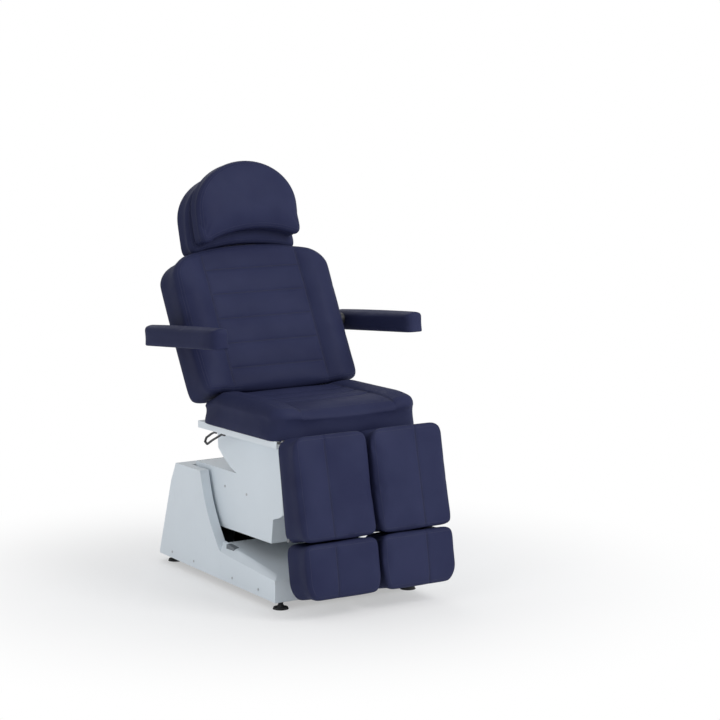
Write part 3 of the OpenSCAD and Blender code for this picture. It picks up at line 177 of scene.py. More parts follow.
def leather(name, dark, mid, light):
    g = Graph(name)
    cloud = g.noise(5.0, 2.0)
    tone = g.ramp(cloud, "Fac", [(0.35, dark), (0.5, mid), (0.68, light)])
    cells = g.cells(620.0)
    fine = g.noise(1500.0, 2.0, 0.6)
    pore = g.ramp(cells, "Distance", [(0.0, (0.80, 0.80, 0.82, 1)), (0.12, (1, 1, 1, 1))])
    col = g.mix(None, None, tone, "Color", pore, "Color", "MULTIPLY", 0.55)
    geo = g.add("ShaderNodeNewGeometry")
    worn = g.span(geo, "Pointiness", 0.0, 0.22, 0.52, 0.60)
    scuff = g.noise(42.0, 4.0, 0.6)
    patch = g.add("ShaderNodeMath", operation="MULTIPLY")
    g.link(worn, "Result", patch, 0)
    g.link(scuff, "Fac", patch, 1)
    col2 = g.mix(patch, "Value", col, 2, (0.062, 0.069, 0.145, 1), None)
    g.link(col2, 2, g.bsdf, "Base Color")
    rough = g.span(g.noise(26.0, 3.0), "Fac", 0.52, 0.66)
    g.link(rough, "Result", g.bsdf, "Roughness")
    g.bsdf.inputs["Specular IOR Level"].default_value = 0.11
    soft = g.noise(17.0, 3.0, 0.55, stretch=(1.0, 0.55, 0.8))
    b0 = g.bump(soft, "Fac", 0.5, 0.0022)
    b1 = g.bump(cells, "Distance", 0.25, 0.00028, b0)
    b2 = g.bump(fine, "Fac", 0.18, 0.00010, b1)
    g.link(b2, "Normal", g.bsdf, "Normal")
    return g.mat


NAVY = leather("navy_leather", (0.026, 0.030, 0.080, 1), (0.030, 0.035, 0.088, 1), (0.034, 0.039, 0.096, 1))


def scaled(colour, k, extra=0.0):
    """A colour made darker or lighter, with its fourth value."""
    return tuple(min(1.0, c * k + extra) for c in colour) + (1,)


def thread(name, colour):
    g = Graph(name)
    strands = g.noise(900.0, 1.0, stretch=(1, 1, 4))
    tone = g.ramp(strands, "Fac", [(0.3, scaled(colour, 0.7)), (0.7, scaled(colour, 1))])
    g.link(tone, "Color", g.bsdf, "Base Color")
    g.bsdf.inputs["Roughness"].default_value = 0.6
    b = g.bump(strands, "Fac", 0.4, 0.0002)
    g.link(b, "Normal", g.bsdf, "Normal")
    return g.mat


THREAD = thread("navy_thread", (0.045, 0.052, 0.115))
# The welt is a real seam piece, but its colour is darker than the leather: painted shade for the seams'
# grooves
SHADED_WELT = thread("seam_shadow", (0.016, 0.018, 0.05))


def plastic(name, colour, rough, peel=0.25, stain=0.05):
    g = Graph(name)
    base = g.noise(3.0, 3.0)
    tone = g.ramp(base, "Fac", [(0.3, scaled(colour, 1 - stain)), (0.7, scaled(colour, 1))])
    scuff = g.noise(55.0, 5.0, 0.65, stretch=(1, 1, 0.35))
    marks = g.ramp(scuff, "Fac", [(0.60, (1, 1, 1, 1)), (0.86, (0.90, 0.90, 0.89, 1))])
    col = g.mix(None, None, tone, "Color", marks, "Color", "MULTIPLY", 0.6)
    g.link(col, 2, g.bsdf, "Base Color")
    r = g.span(g.noise(20.0, 4.0), "Fac", rough - 0.04, rough + 0.07)
    g.link(r, "Result", g.bsdf, "Roughness")
    g.bsdf.inputs["Specular IOR Level"].default_value = 0.45
    fine = g.noise(420.0, 2.0)
    b = g.bump(fine, "Fac", peel, 0.00012)
    wave = g.noise(7.0, 1.0)
    b2 = g.bump(wave, "Fac", 0.35, 0.0012, b)
    g.link(b2, "Normal", g.bsdf, "Normal")
    return g.mat


SHELL = plastic("moulded_shell", (0.78, 0.845, 0.895), 0.34)
TRAY = plastic("white_tray", (0.80, 0.855, 0.90), 0.38, 0.35)
GREY = plastic("grey_plastic", (0.17, 0.19, 0.21), 0.5, 0.6)
BLACK = plastic("black_plastic", (0.022, 0.022, 0.025), 0.55, 0.8, 0.2)


def rubber(name, colour):
    g = Graph(name)
    dust = g.noise(60.0, 4.0, 0.6)
    tone = g.ramp(dust, "Fac", [(0.4, scaled(colour, 1)), (0.8, scaled(colour, 1.9))])
    g.link(tone, "Color", g.bsdf, "Base Color")
    g.bsdf.inputs["Roughness"].default_value = 0.72
    b = g.bump(g.noise(700.0, 2.0), "Fac", 0.5, 0.0002)
    g.link(b, "Normal", g.bsdf, "Normal")
    return g.mat


RUBBER = rubber("black_rubber", (0.014, 0.014, 0.016))


def metal(name, colour, rough, brushed):
    g = Graph(name)
    streak = g.noise(240.0, 3.0, 0.6, stretch=brushed)
    tone = g.ramp(streak, "Fac", [(0.3, scaled(colour, 0.86)), (0.7, scaled(colour, 1))])
    g.link(tone, "Color", g.bsdf, "Base Color")
    g.bsdf.inputs["Metallic"].default_value = 1.0
    r = g.span(streak, "Fac", rough - 0.06, rough + 0.10)
    g.link(r, "Result", g.bsdf, "Roughness")
    b = g.bump(streak, "Fac", 0.15, 0.00008)
    g.link(b, "Normal", g.bsdf, "Normal")
    return g.mat


ZINC = metal("zinc_plate", (0.62, 0.62, 0.64), 0.34, (6, 1, 1))


def paint(name, colour, rough=0.45):
    g = Graph(name)
    tex = g.noise(900.0, 2.0)
    geo = g.add("ShaderNodeNewGeometry")
    worn = g.span(geo, "Pointiness", 0.0, 0.5, 0.53, 0.62)
    col = g.mix(worn, "Result", scaled(colour, 1), None, scaled(colour, 2.2, 0.05), None)
    g.link(col, 2, g.bsdf, "Base Color")
    r = g.span(tex, "Fac", rough - 0.05, rough + 0.1)
    g.link(r, "Result", g.bsdf, "Roughness")
    b = g.bump(tex, "Fac", 0.35, 0.00015)
    g.link(b, "Normal", g.bsdf, "Normal")
    return g.mat


STEEL = paint("grey_powder_coat", (0.115, 0.12, 0.13))
BLACKCOAT = paint("black_powder_coat", (0.016, 0.016, 0.018), 0.5)


def plywood(name):
    g = Graph(name)
    grain = g.noise(9.0, 6.0, 0.65, stretch=(1, 14, 14))
    tone = g.ramp(grain, "Fac", [(0.3, (0.36, 0.23, 0.12, 1)), (0.55, (0.52, 0.37, 0.21, 1)),
                                 (0.75, (0.60, 0.45, 0.28, 1))])
    g.link(tone, "Color", g.bsdf, "Base Color")
    g.bsdf.inputs["Roughness"].default_value = 0.62
    b = g.bump(grain, "Fac", 0.3, 0.0003)
    g.link(b, "Normal", g.bsdf, "Normal")
    return g.mat


PLY = plywood("birch_plywood")
FELT = rubber("hook_loop_tape", (0.012, 0.012, 0.02))

SLOT_LOOK = {"navy_upholstery": NAVY, "moulded_cover": SHELL, "white_frame": TRAY, "grey_plugs": GREY,
             "painted_steel": STEEL, "zinc_steel": ZINC, "plywood": PLY, "black_steel": BLACKCOAT,
             "black_plastic": BLACK, "black_rubber": RUBBER, "hook_and_loop": FELT}
SLOT_OF = {s["node"]: s["material_slot"] for s in frame["record"]["subparts"]}
for _name, _o in NODES.items():
    look = SLOT_LOOK[SLOT_OF[_name]]
    if not _o.material_slots:
        _o.data.materials.append(look)
    for s in _o.material_slots:
        s.material = look


# ---------------------------------------------------------------- making pieces
def piece(name, verts, faces, mat, body, smooth=True):
    me = bpy.data.meshes.new(name)
    me.from_pydata([tuple(v) for v in verts], [], faces)
    me.validate()
    me.polygons.foreach_set("use_smooth", [smooth] * len(me.polygons))
    me.materials.append(mat)
    o = bpy.data.objects.new(name, me)
    scene.collection.objects.link(o)
    if body:
        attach(o, body)
    return o


def rounded(node, name, body, width, segs, cuts=(), shape=None):
    """A copy of a rigid CAD node that stands for it, its edges rounded and its outline eased by shape."""
    src = NODES[node]
    bm = bmesh.new()
    bm.from_mesh(src.data)
    bmesh.ops.remove_doubles(bm, verts=bm.verts, dist=2e-5)
    bmesh.ops.dissolve_limit(bm, angle_limit=math.radians(1.5), verts=bm.verts, edges=bm.edges)
    for z in cuts:
        bmesh.ops.bisect_plane(bm, geom=bm.verts[:] + bm.edges[:] + bm.faces[:], dist=1e-6,
                               plane_co=(0, 0, z * MM), plane_no=(0, 0, 1))
    if shape:
        for v in bm.verts:
            v.co = Vector(shape(*(v.co / MM))) * MM
    me = bpy.data.meshes.new(name)
    bm.to_mesh(me)
    bm.free()
    me.polygons.foreach_set("use_smooth", [True] * len(me.polygons))
    o = bpy.data.objects.new(name, me)
    scene.collection.objects.link(o)
    m = o.modifiers.new("round", "BEVEL")
    m.width = width * MM
    m.segments = segs
    m.limit_method = "ANGLE"
    m.angle_limit = math.radians(28)
    m.use_clamp_overlap = True
    m.miter_outer = "MITER_ARC"
    w = o.modifiers.new("normals", "WEIGHTED_NORMAL")
    w.mode = "FACE_AREA"
    w.weight = 100
    w.keep_sharp = False
    bpy.context.view_layer.update()
    dg = bpy.context.evaluated_depsgraph_get()
    new = bpy.data.meshes.new_from_object(o.evaluated_get(dg))
    o.modifiers.clear()
    o.data = new
    new.materials.clear()
    new.materials.append(SLOT_LOOK[SLOT_OF[node]])
    new.polygons.foreach_set("use_smooth", [True] * len(new.polygons))
    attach(o, body)
    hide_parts(node)
    return o


def grid_loop(nr, nc):
    return ([c for c in range(nc)] + [r * nc + nc - 1 for r in range(1, nr)]
            + [(nr - 1) * nc + c for c in range(nc - 2, -1, -1)] + [r * nc for r in range(nr - 2, 0, -1)])


def pad_mesh(grid, radius, tuck, thick, lip=0.0):
    """Closed quads: a face grid, rings round the sides and a flat back, or one with a lip round a board."""
    grid = np.asarray(grid, float)
    nr, nc = grid.shape[:2]
    face = grid.reshape(-1, 3)
    loop = grid_loop(nr, nc)
    n = len(loop)
    rim = face[loop]
    nxt, prv = np.roll(rim, -1, 0), np.roll(rim, 1, 0)
    tan = nxt[:, [0, 2]] - prv[:, [0, 2]]
    out = np.stack([tan[:, 1], -tan[:, 0]], 1)
    out /= np.linalg.norm(out, axis=1)[:, None] + 1e-9
    for _ in range(2):
        out = (np.roll(out, 1, 0) + 2 * out + np.roll(out, -1, 0)) / 4
        out /= np.linalg.norm(out, axis=1)[:, None]
    steps = [(radius * math.sin(math.radians(a)), 1 - radius * (1 - math.cos(math.radians(a))) / thick)
             for a in (15, 30, 45, 60, 75, 90)]
    steps += [(radius - tuck * 0.7, 0.58), (radius - tuck, 0.42), (radius - tuck * 0.5, 0.24)]
    steps = [(a, b, 0.0) for a, b in steps]
    held = len(steps) + 2
    if lip:
        steps += [(radius, 0.1, 0.0), (radius, 0.0, lip * 0.55), (radius - 1.2, 0.0, lip),
                  (radius - 3.6, 0.0, lip), (radius - 4.0, 0.0, lip * 0.5), (radius - 4.2, 0.0, 0.4),
                  (radius - 8.0, 0.0, 0.0)]
    else:
        steps += [(radius, 0.12, 0.0), (radius - 2.5, 0.04, 0.0), (radius - 7, 0.0, 0.0)]
    verts = [face]
    rings = [loop]
    base = len(face)
    for s, share, behind in steps:
        ring = np.empty((n, 3))
        ring[:, 0] = rim[:, 0] + s * out[:, 0]
        ring[:, 1] = rim[:, 1] * share + behind
        ring[:, 2] = rim[:, 2] + s * out[:, 1]
        verts.append(ring)
        rings.append(list(range(base, base + n)))
        base += n
    back = face.copy()
    back[:, 1] = 0
    index = dict(zip(loop, rings[-1]))
    inner = [i for i in range(nr * nc) if i not in index]
    verts.append(back[inner])
    for k, i in enumerate(inner):
        index[i] = base + k
    faces = []
    for r in range(nr - 1):
        for c in range(nc - 1):
            i = r * nc + c
            faces.append((i, i + 1, i + nc + 1, i + nc))
            faces.append((index[i], index[i + nc], index[i + nc + 1], index[i + 1]))
    for a, b in zip(rings[:-1], rings[1:]):
        for k in range(n):
            m = (k + 1) % n
            faces.append((a[k], b[k], b[m], a[m]))
    return np.concatenate(verts), faces, list(range(rings[held][0], base + len(inner))), (rim, out)


def even(lo, hi, step):
    n = max(1, round((hi - lo) / step))
    return [lo + (hi - lo) * i / n for i in range(n + 1)]


def marks(lo, hi, seams, step=14.0, half=7.0, near=2.5):
    """Values from lo to hi, with each seam and the foot of its groove among them."""
    keys = [lo] + [v for s in seams for v in (s - half, s - near, s, s + near, s + half)] + [hi]
    out = []
    for a, b in zip(keys[:-1], keys[1:]):
        out += even(a, b, step)[:-1]
    return out + [hi]


def valley(v, seams, depth=5.0, half=7.0):
    d = min([abs(v - s) for s in seams] + [1e9])
    return depth * max(0.0, 1 - d / half) ** 1.4 if d < half else 0.0


def pillow(v, seams):
    """Height of a stuffed channel between the two nearest seams, from 0 at a seam to 1."""
    for a, b in zip(seams[:-1], seams[1:]):
        if a <= v <= b:
            u = (v - a) / (b - a)
            return (4 * u * (1 - u)) ** 0.6
    return 0.0


def soft_step(v):
    v = min(1.0, max(0.0, v))
    return v * v * (3 - 2 * v)


def crown(v, lo, hi):
    t = min(1.0, max(0.0, (v - lo) / (hi - lo)))
    return (4 * t * (1 - t)) ** 0.6


def round_corner(x, z, half, end, inward, c):
    """Moves a point near a pad's corner onto a round one: a square patch becomes a quarter disc."""
    u = (abs(x) - half + c) / c
    v = 1 - (z - end) * inward / c
    if u <= 0 or v <= 0:
        return x, z
    u, v = min(u, 1.0), min(v, 1.0)
    return (math.copysign(half - c + c * u * math.sqrt(1 - v * v / 2), x),
            end + inward * c * (1 - v * math.sqrt(1 - u * u / 2)))


PADS = []


def pad(name, node, body, matrix, grid, radius, tuck, thick, seam_test, pressure=3.0, cap=6.0, lip=0.0,
        shape=None):
    verts, faces, flat, rim = pad_mesh(grid, radius, tuck, thick, lip)
    if shape:
        verts = np.array([shape(*v) for v in verts])
        rim = (np.array([shape(*v) for v in rim[0]]), rim[1])
    PADS.append(dict(name=name, node=node, body=body, matrix=matrix, verts=verts, faces=faces, flat=flat,
                     rim=rim, seam=seam_test, pressure=pressure, cap=cap))


# Seat cushion: rows run from front to back, measured from its own front
AHEAD = 14
SEAT_SEAMS = [93 + i * 84 for i in range(1, 4)]
SEAT_SIDE, SEAT_HALF, SEAT_EDGE, SEAT_THICK, SEAT_CORNER = 193.0, 303, 42, 110, 56
BACK_START = 67.5


def no_seam(x, y, z):
    return False


def seat_depth(x, y):
    rear = (BACK_START - (y - AHEAD - 505) * math.sin(RECLINE)) / math.cos(RECLINE) - 15 - 5
    t = float(SEAT_THICK)
    if y < 120:
        t -= 20 * ((120 - y) / 120) ** 2
    t -= 13 * soft_step((232 - abs(x)) / 74)
    if abs(x) < 200:
        t -= valley(y, SEAT_SEAMS, 4, 9) * min(1, (200 - abs(x)) / 10)
        t += 2 * pillow(y, [20] + SEAT_SEAMS + [430]) * min(1, (200 - abs(x)) / 40)
        t -= valley(abs(x), [SEAT_SIDE], 3, 8)
    t += 3 * crown(abs(x), 190, 292) if abs(x) > 190 else 0
    return min(t, rear)


seat_rows = [SEAT_EDGE, 50] + marks(58, 414, SEAT_SEAMS) + [426, 444, 464, 484]
side = [SEAT_SIDE + d for d in (-9, -3, 0, 3, 7, 14)]
seat_cols = even(0, SEAT_SIDE - 9, 16)[:-1] + side + even(SEAT_SIDE + 26, SEAT_HALF - SEAT_EDGE, 14)
seat_cols = [-c for c in seat_cols[:0:-1]] + seat_cols


def seat_ends(x, y, z):
    x, z = round_corner(x, z, SEAT_HALF, 0, 1, SEAT_CORNER)
    return x, y, z


def seat_seam(x, y, z):
    return abs(abs(x) - SEAT_SIDE) < 3.5 or (abs(x) < SEAT_SIDE and min(abs(z - s) for s in SEAT_SEAMS) < 1.0)


seat_grid = [[(x, -seat_depth(x, y), y) for x in seat_cols] for y in seat_rows]
pad("seat_upholstery", "seat_cushion", "seat", PLACED @ at(0, -AHEAD, 600) @ turn(math.radians(-90)),
    seat_grid, SEAT_EDGE, 5, SEAT_THICK, seat_seam, lip=11.0, pressure=2.0, shape=seat_ends)

# Back cushion: rows climb
BACK_SEAMS = [155 + i * 94.5 for i in range(5)]
BACK_W, BACK_FOOT, BACK_TOP, EDGE, SHOULDER = 662, 654, 622, 28, 106
BACK_SIDE, BACK_THICK = 200, 131


def back_half(a):
    h = (BACK_FOOT + (BACK_W - BACK_FOOT) * min(1, (a - BACK_START) / 250)) / 2 - EDGE
    if a > BACK_TOP - SHOULDER:
        h -= SHOULDER - math.sqrt(max(0, SHOULDER ** 2 - (a - BACK_TOP + SHOULDER) ** 2))
    return h


def back_place(x0, a):
    full = BACK_W / 2 - EDGE
    inner = full - SHOULDER - 10
    half = back_half(a)
    x = abs(x0)
    fit = x if x <= inner else inner + (x - inner) * (half - inner) / (full - inner)
    lift = max(0.0, (a - BACK_TOP + SHOULDER) / SHOULDER)
    s = x0 / full
    return math.copysign(fit, x0), a - 38 * lift * s * s


def back_depth(x, a):
    t = float(BACK_THICK)
    if abs(x) > BACK_SIDE:
        v = max(0.0, (a - 300) / (BACK_TOP - 300))
        t += 16 * (1 - v ** 4) * soft_step((abs(x) - 196) / 62) + 2 * crown(abs(x), BACK_SIDE, 303)
    else:
        t -= valley(a, BACK_SEAMS, 3.5, 8) * min(1, (BACK_SIDE - abs(x)) / 10)
        t += 1.5 * pillow(a, [75] + BACK_SEAMS + [628]) * min(1, (BACK_SIDE - abs(x)) / 30)
    hollow = math.exp(-((abs(x) - 186) / 34) ** 2) * math.exp(-((a - 560) / 60) ** 2)
    return t - valley(abs(x), [BACK_SIDE], 2.5, 8) - 5 * hollow


def back_seam(x, y, z):
    return abs(abs(x) - BACK_SIDE) < 3.5 or (abs(x) < BACK_SIDE and min(abs(z - s) for s in BACK_SEAMS) < 1.0)


back_rows = [95.5, 108] + marks(122, BACK_TOP - 66, BACK_SEAMS) + [568, 580, 592, 602]
back_cols = even(0, 176, 16) + [186, 193, 197, 200, 203, 207, 216] + even(228, BACK_W / 2 - EDGE, 12)
back_cols = [-c for c in back_cols[:0:-1]] + back_cols
back_grid = []
for a in back_rows:
    row = []
    for x in back_cols:
        px, pz = back_place(x, a)
        row.append((px, -back_depth(px, pz), pz))
    back_grid.append(row)
pad("backrest_upholstery", "back_cushion", "back", ON_BACK, back_grid, EDGE, 5, BACK_THICK, back_seam,
    pressure=1.6)


# Headrest and pillow: domes
HEAD_W, PILLOW_W, HEAD_THICK, PILLOW_THICK, DOME_EDGE = 452, 434, 88, 66, 26


def dome(w, length, arc, bow, t, crown_h):
    angles = [i * 7.5 - 90 for i in range(25)]
    grid = []
    for v in even(0, 1, 1 / 12):
        row = []
        for a in angles:
            s = math.sin(math.radians(a))
            low = DOME_EDGE + bow * (1 - s * s)
            high = length - DOME_EDGE - arc * (1 - math.sqrt(max(0, 1 - s * s)))
            x, z = s * (w / 2 - DOME_EDGE), low + v * (high - low)
            d = crown_h * (1 - s ** 4) * (1 - abs(2 * v - 1) ** 3)
            row.append((x, -(t + d), z))
        grid.append(row)
    return grid


def headrest_ends(x, y, z):
    return x, y, z - 17 * (2 * abs(x) / HEAD_W) ** 2 * max(0.0, 1 - z / 120)


def pillow_ends(x, y, z):
    return x, y, z + 0.038 * x - 6 * (2 * abs(x) / PILLOW_W) ** 4 * max(0.0, 1 - z / 110)


pad("headrest_upholstery", "headrest_cushion", "head", ON_HEAD @ at(0, -16, -31),
    dome(HEAD_W, 293, 150, 14, HEAD_THICK, 3), DOME_EDGE, 5, HEAD_THICK, no_seam, pressure=2.0,
    shape=headrest_ends)
pad("pillow_upholstery", "head_pillow", "pillow", ON_HEAD @ at(0, -108, -6),
    dome(PILLOW_W, 294, 152, 35, PILLOW_THICK, 7), DOME_EDGE, 3, PILLOW_THICK, no_seam, pressure=2.0,
    shape=pillow_ends)

# Leg and foot pads
PAD_W, LEG_R = 303, 18
HALF_PAD = PAD_W / 2
LEG_LEN, LEG_THICK, FOOT_LEN, FOOT_THICK, FOOT_ROUND = 355, 92, 192, 110, 66
LEG_SEAM = 0.23 * (HALF_PAD - LEG_R)


def mirrored(values, side):
    return values if side > 0 else [-v for v in values[::-1]]


def leg_grid(side):
    half = HALF_PAD - LEG_R
    cols = mirrored(marks(-half, half, [LEG_SEAM], 13), side)
    return [[(x, -(LEG_THICK + 20 * (LEG_LEN - z) / LEG_LEN + 6 * (1 - (x / HALF_PAD) ** 2)
                   - valley(x * side, [LEG_SEAM], 4)), z)
             for x in cols] for z in even(LEG_R, LEG_LEN - LEG_R, 13)]


def foot_grid(side):
    half = HALF_PAD - LEG_R
    cols = mirrored(marks(-half, half, [LEG_SEAM], 13), side)

    def width(s, z):
        below = max(0.0, FOOT_ROUND - z)
        loss = FOOT_ROUND - math.sqrt(max(0, FOOT_ROUND ** 2 - below ** 2))
        return half - (loss if s * side > 0 else loss / 2)

    out = []
    for z in [LEG_R, 24, 31, 39, 48, 57, FOOT_ROUND] + even(76, FOOT_LEN - LEG_R, 12):
        row = []
        for x in cols:
            s = x / half
            full = width(s, z)
            keep = LEG_SEAM + 10
            ax = abs(x)
            px = ax if ax < keep else keep + (ax - keep) * (full - keep) / (half - keep)
            px = math.copysign(px, x)
            d = FOOT_THICK - (12 * ((60 - z) / 60) ** 2 if z < 60 else 0) + 6 * (1 - (px / HALF_PAD) ** 2)
            row.append((px, -(d - valley(px * side, [LEG_SEAM], 4)), z))
        out.append(row)
    return out


def leg_ends(x, y, z):
    front = min(1.0, max(0.0, (-y - 40) / 70))
    x, z = round_corner(x, z, HALF_PAD, LEG_LEN, -1, 36)
    x, z = round_corner(x, z, HALF_PAD, 0, 1, LEG_R)
    return x, y, z + 13 * front * max(0.0, (z - 290) / 65) - 2 * max(0.0, 1 - z / 30)


def foot_ends(x, y, z):
    x, z = round_corner(x, z, HALF_PAD, FOOT_LEN, -1, 22)
    return x, y, z + 4 * max(0.0, (z - 150) / 42)


SIDES = ((1, "left", "l"), (-1, "right", "r"))
for sd, nm, tag in SIDES:
    def on_seam(x, y, z, sd=sd):
        return abs(x * sd - LEG_SEAM) < 1.0

    pad("leg_upholstery_" + nm, "leg_pad_" + nm, "leg_" + tag, on_leg(sd) @ at(0, -11, -343), leg_grid(sd),
        LEG_R, 5, LEG_THICK, on_seam, lip=14.0, pressure=2.0, shape=leg_ends)
    pad("foot_upholstery_" + nm, "foot_pad_" + nm, "footrest_" + tag, on_leg(sd) @ at(0, -11, -543),
        foot_grid(sd), LEG_R, 5, FOOT_THICK, on_seam, lip=14.0, pressure=2.0, shape=foot_ends)

# Armrest pads, local Z runs forward
ARM_HALF, ARM_LEN, ARM_R, ARM_THICK = 37.5, 513, 18, 76


def arm_ends(x, y, z):
    for end, inward in ((0, 1), (ARM_LEN, -1)):
        x, z = round_corner(x, z, ARM_HALF, end, inward, 26)
    return x, y, z


for sd, nm, tag in SIDES:
    m = on_arm(sd) @ at(sd * ARM_HALF, 75, -4 - 38) @ turn(math.pi, "Z") @ turn(math.radians(-90))
    g = [[(x, -(ARM_THICK - 5 * (x / 19.5) ** 2), z) for x in even(-19.5, 19.5, 6.5)]
         for z in even(ARM_R, ARM_LEN - ARM_R, 12)]
    pad("armrest_upholstery_" + nm, "armrest_pad_" + nm, "armrest_" + tag, m, g, ARM_R, 1.5, ARM_THICK,
        no_seam, cap=3, shape=arm_ends)


def make_pads():
    made = []
    for p in PADS:
        shrink = 2.0
        v = p["verts"] * MM
        me = bpy.data.meshes.new(p["name"])
        me.from_pydata([tuple(q) for q in v], [], p["faces"])
        me.validate()
        if shrink:
            nrm = np.empty(len(v) * 3)
            me.vertex_normals.foreach_get("vector", nrm)
            v2 = v - nrm.reshape(-1, 3) * shrink * MM
            v2[p["flat"]] = v[p["flat"]]
            me.vertices.foreach_set("co", v2.ravel())
            v = v2
        o = bpy.data.objects.new(p["name"], me)
        scene.collection.objects.link(o)
        p["start"] = v
        grp = o.vertex_groups.new(name="pin")
        flat = set(p["flat"])
        for i, q in enumerate(p["verts"]):
            if i in flat:
                grp.add([i], 1.0, "REPLACE")
            elif q[1] < -36 and p["seam"](*q):
                grp.add([i], 0.97, "REPLACE")
        c = o.modifiers.new("cloth", "CLOTH")
        s = c.settings
        s.quality = 4
        s.mass = 0.25
        s.tension_stiffness = 25
        s.compression_stiffness = 25
        s.shear_stiffness = 12
        s.bending_stiffness = 1.2
        s.air_damping = 2
        s.vertex_group_mass = "pin"
        s.use_pressure = True
        s.uniform_pressure_force = p["pressure"]
        s.effector_weights.gravity = 0
        c.collision_settings.use_collision = False
        made.append(o)
    for f in range(1, 15):
        scene.frame_set(f)
    dg = bpy.context.evaluated_depsgraph_get()
    for p, o in zip(PADS, made):
        n = len(p["verts"])
        now = p["start"]
        ev = o.evaluated_get(dg)
        got = np.empty(len(ev.data.vertices) * 3)
        ev.data.vertices.foreach_get("co", got)
        got = got.reshape(-1, 3)[:n]
        d = got - p["start"]
        size = np.linalg.norm(d, axis=1) + 1e-9
        cap = p["cap"] * MM
        now = p["start"] + d * (np.minimum(size, cap) / size)[:, None]
        o.modifiers.clear()
        o.data.vertices.foreach_set("co", now.ravel())
        o.data.update()
        sub = o.modifiers.new("sub", "SUBSURF")
        sub.levels = 1
        bpy.context.view_layer.update()
        dg2 = bpy.context.evaluated_depsgraph_get()
        new = bpy.data.meshes.new_from_object(o.evaluated_get(dg2))
        o.modifiers.clear()
        o.vertex_groups.clear()
        o.data = new
        new.materials.clear()
        new.materials.append(NAVY)
        new.polygons.foreach_set("use_smooth", [True] * len(new.polygons))
        p["tree"] = BVHTree.FromPolygons([v.co / MM for v in new.vertices],
                                         [tuple(f.vertices) for f in new.polygons])
        big, small = Matrix.Diagonal((1 / MM, 1 / MM, 1 / MM, 1)), Matrix.Diagonal((MM, MM, MM, 1))
        new.transform(small @ p["matrix"] @ big)
        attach(o, p["body"])
        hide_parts(p["node"])
        p["object"] = o
    scene.frame_set(1)


make_pads()
PAD = {p["name"]: p for p in PADS}


def on_pad(p, point):
    """Where a ray from in front meets a pad's face, in the pad's local frame."""
    d = Vector((0, 1, 0))
    return p["tree"].ray_cast(Vector(point) - d * 400, d)[:2]


def resample(points, step):
    pts = [Vector(q) for q in points]
    out = [pts[0]]
    left = step
    for a, b in zip(pts[:-1], pts[1:]):
        seg = (b - a).length
        done = 0.0
        while seg - done >= left:
            done += left
            out.append(a.lerp(b, done / seg))
            left = step
        left -= seg - done
    return out


def project(p, points, step=5.0):
    path = []
    for q in resample(points, step):
        loc, nor = on_pad(p, q)
        if loc is not None:
            path.append((loc, nor))
    return path


def tube_along(verts, faces, path, r, lift, sides):
    """Adds a thin tube along (place, normal) pairs to verts and faces."""
    base = len(verts)
    n = len(path)
    for i, (q, nor) in enumerate(path):
        a = path[max(0, i - 1)][0]
        b = path[min(n - 1, i + 1)][0]
        t = (b - a).normalized()
        s = t.cross(nor).normalized()
        c = q + nor * lift
        for k in range(sides):
            w = 2 * math.pi * k / sides
            verts.append(c + s * (r * math.cos(w)) + nor * (r * math.sin(w)))
    for i in range(n - 1):
        for k in range(sides):
            m = (k + 1) % sides
            a, b = base + i * sides, base + (i + 1) * sides
            faces.append((a + k, a + m, b + m, b + k))
    faces.append(tuple(base + k for k in range(sides))[::-1])
    faces.append(tuple(base + (n - 1) * sides + k for k in range(sides)))


STITCH, STITCH_GAP, STITCH_R = 4.2, 2.6, 0.55


def stitches_along(verts, faces, path):
    """Adds single stitches along (place, normal) pairs, each a small bent tube."""
    if len(path) < 3:
        return
    dist = [0.0]
    for a, b in zip(path[:-1], path[1:]):
        dist.append(dist[-1] + (b[0] - a[0]).length)
    s = STITCH_GAP
    while s + STITCH < dist[-1]:
        pts = []
        for u in (0.0, 0.5, 1.0):
            d = s + u * STITCH
            i = min(len(path) - 2, max(0, int(np.searchsorted(dist, d) - 1)))
            f = (d - dist[i]) / max(1e-6, dist[i + 1] - dist[i])
            q = path[i][0].lerp(path[i + 1][0], f)
            nor = path[i][1].lerp(path[i + 1][1], f).normalized()
            pts.append((q + nor * (0.35 if u == 0.5 else -0.25), nor))
        tube_along(verts, faces, pts, STITCH_R, 0.0, 5)
        s += STITCH + STITCH_GAP


SEAM_FACES = {}


def outline(p, inset, keep=lambda x, z: True):
    """A stitched line that follows the edge of a pad's face."""
    rim, out = p["rim"]
    pts = [(q[0] - o[0] * inset, 0, q[2] - o[1] * inset) for q, o in zip(rim, out)]
    pts.append(pts[0])
    runs, run = [], []
    for q in pts:
        if keep(q[0], q[2]):
            run.append(q)
        elif run:
            runs.append(run)
            run = []
    if run:
        runs.append(run)
    store = SEAM_FACES.setdefault(p["name"], ([], [], [], []))
    for run in runs:
        if len(run) > 2:
            stitches_along(store[2], store[3], project(p, run))


WELT_R = 0.9


def seam(p, points, double=True, offset=4.0):
    """A welt along points on a pad's face, coloured darker than the leather as painted shade in the seam's
    groove, with a row of stitches on one side or on both.
    """
    path = project(p, points)
    if len(path) < 3:
        return
    store = SEAM_FACES.setdefault(p["name"], ([], [], [], []))
    tube_along(store[0], store[1], path, WELT_R, -WELT_R * 0.25, 6)
    for off in ((-offset, offset) if double else (offset,)):
        near = []
        for i, (q, nor) in enumerate(path):
            a = path[max(0, i - 1)][0]
            b = path[min(len(path) - 1, i + 1)][0]
            sd = (b - a).normalized().cross(nor).normalized()
            loc, nn = on_pad(p, q + sd * off)
            if loc is not None:
                near.append((loc, nn))
        stitches_along(store[2], store[3], near)


def finish_seams():
    for name, (wv, wf, sv, sf) in SEAM_FACES.items():
        p = PAD[name]
        # The welts are drawn in the dark colour that paints the shade in the seams
        for tag, v, f, mat in (("welts", wv, wf, SHADED_WELT), ("stitching", sv, sf, THREAD)):
            if v:
                world = [tuple((p["matrix"] @ q) * MM) for q in v]
                piece(name.replace("upholstery", tag), world, f, mat, p["body"])


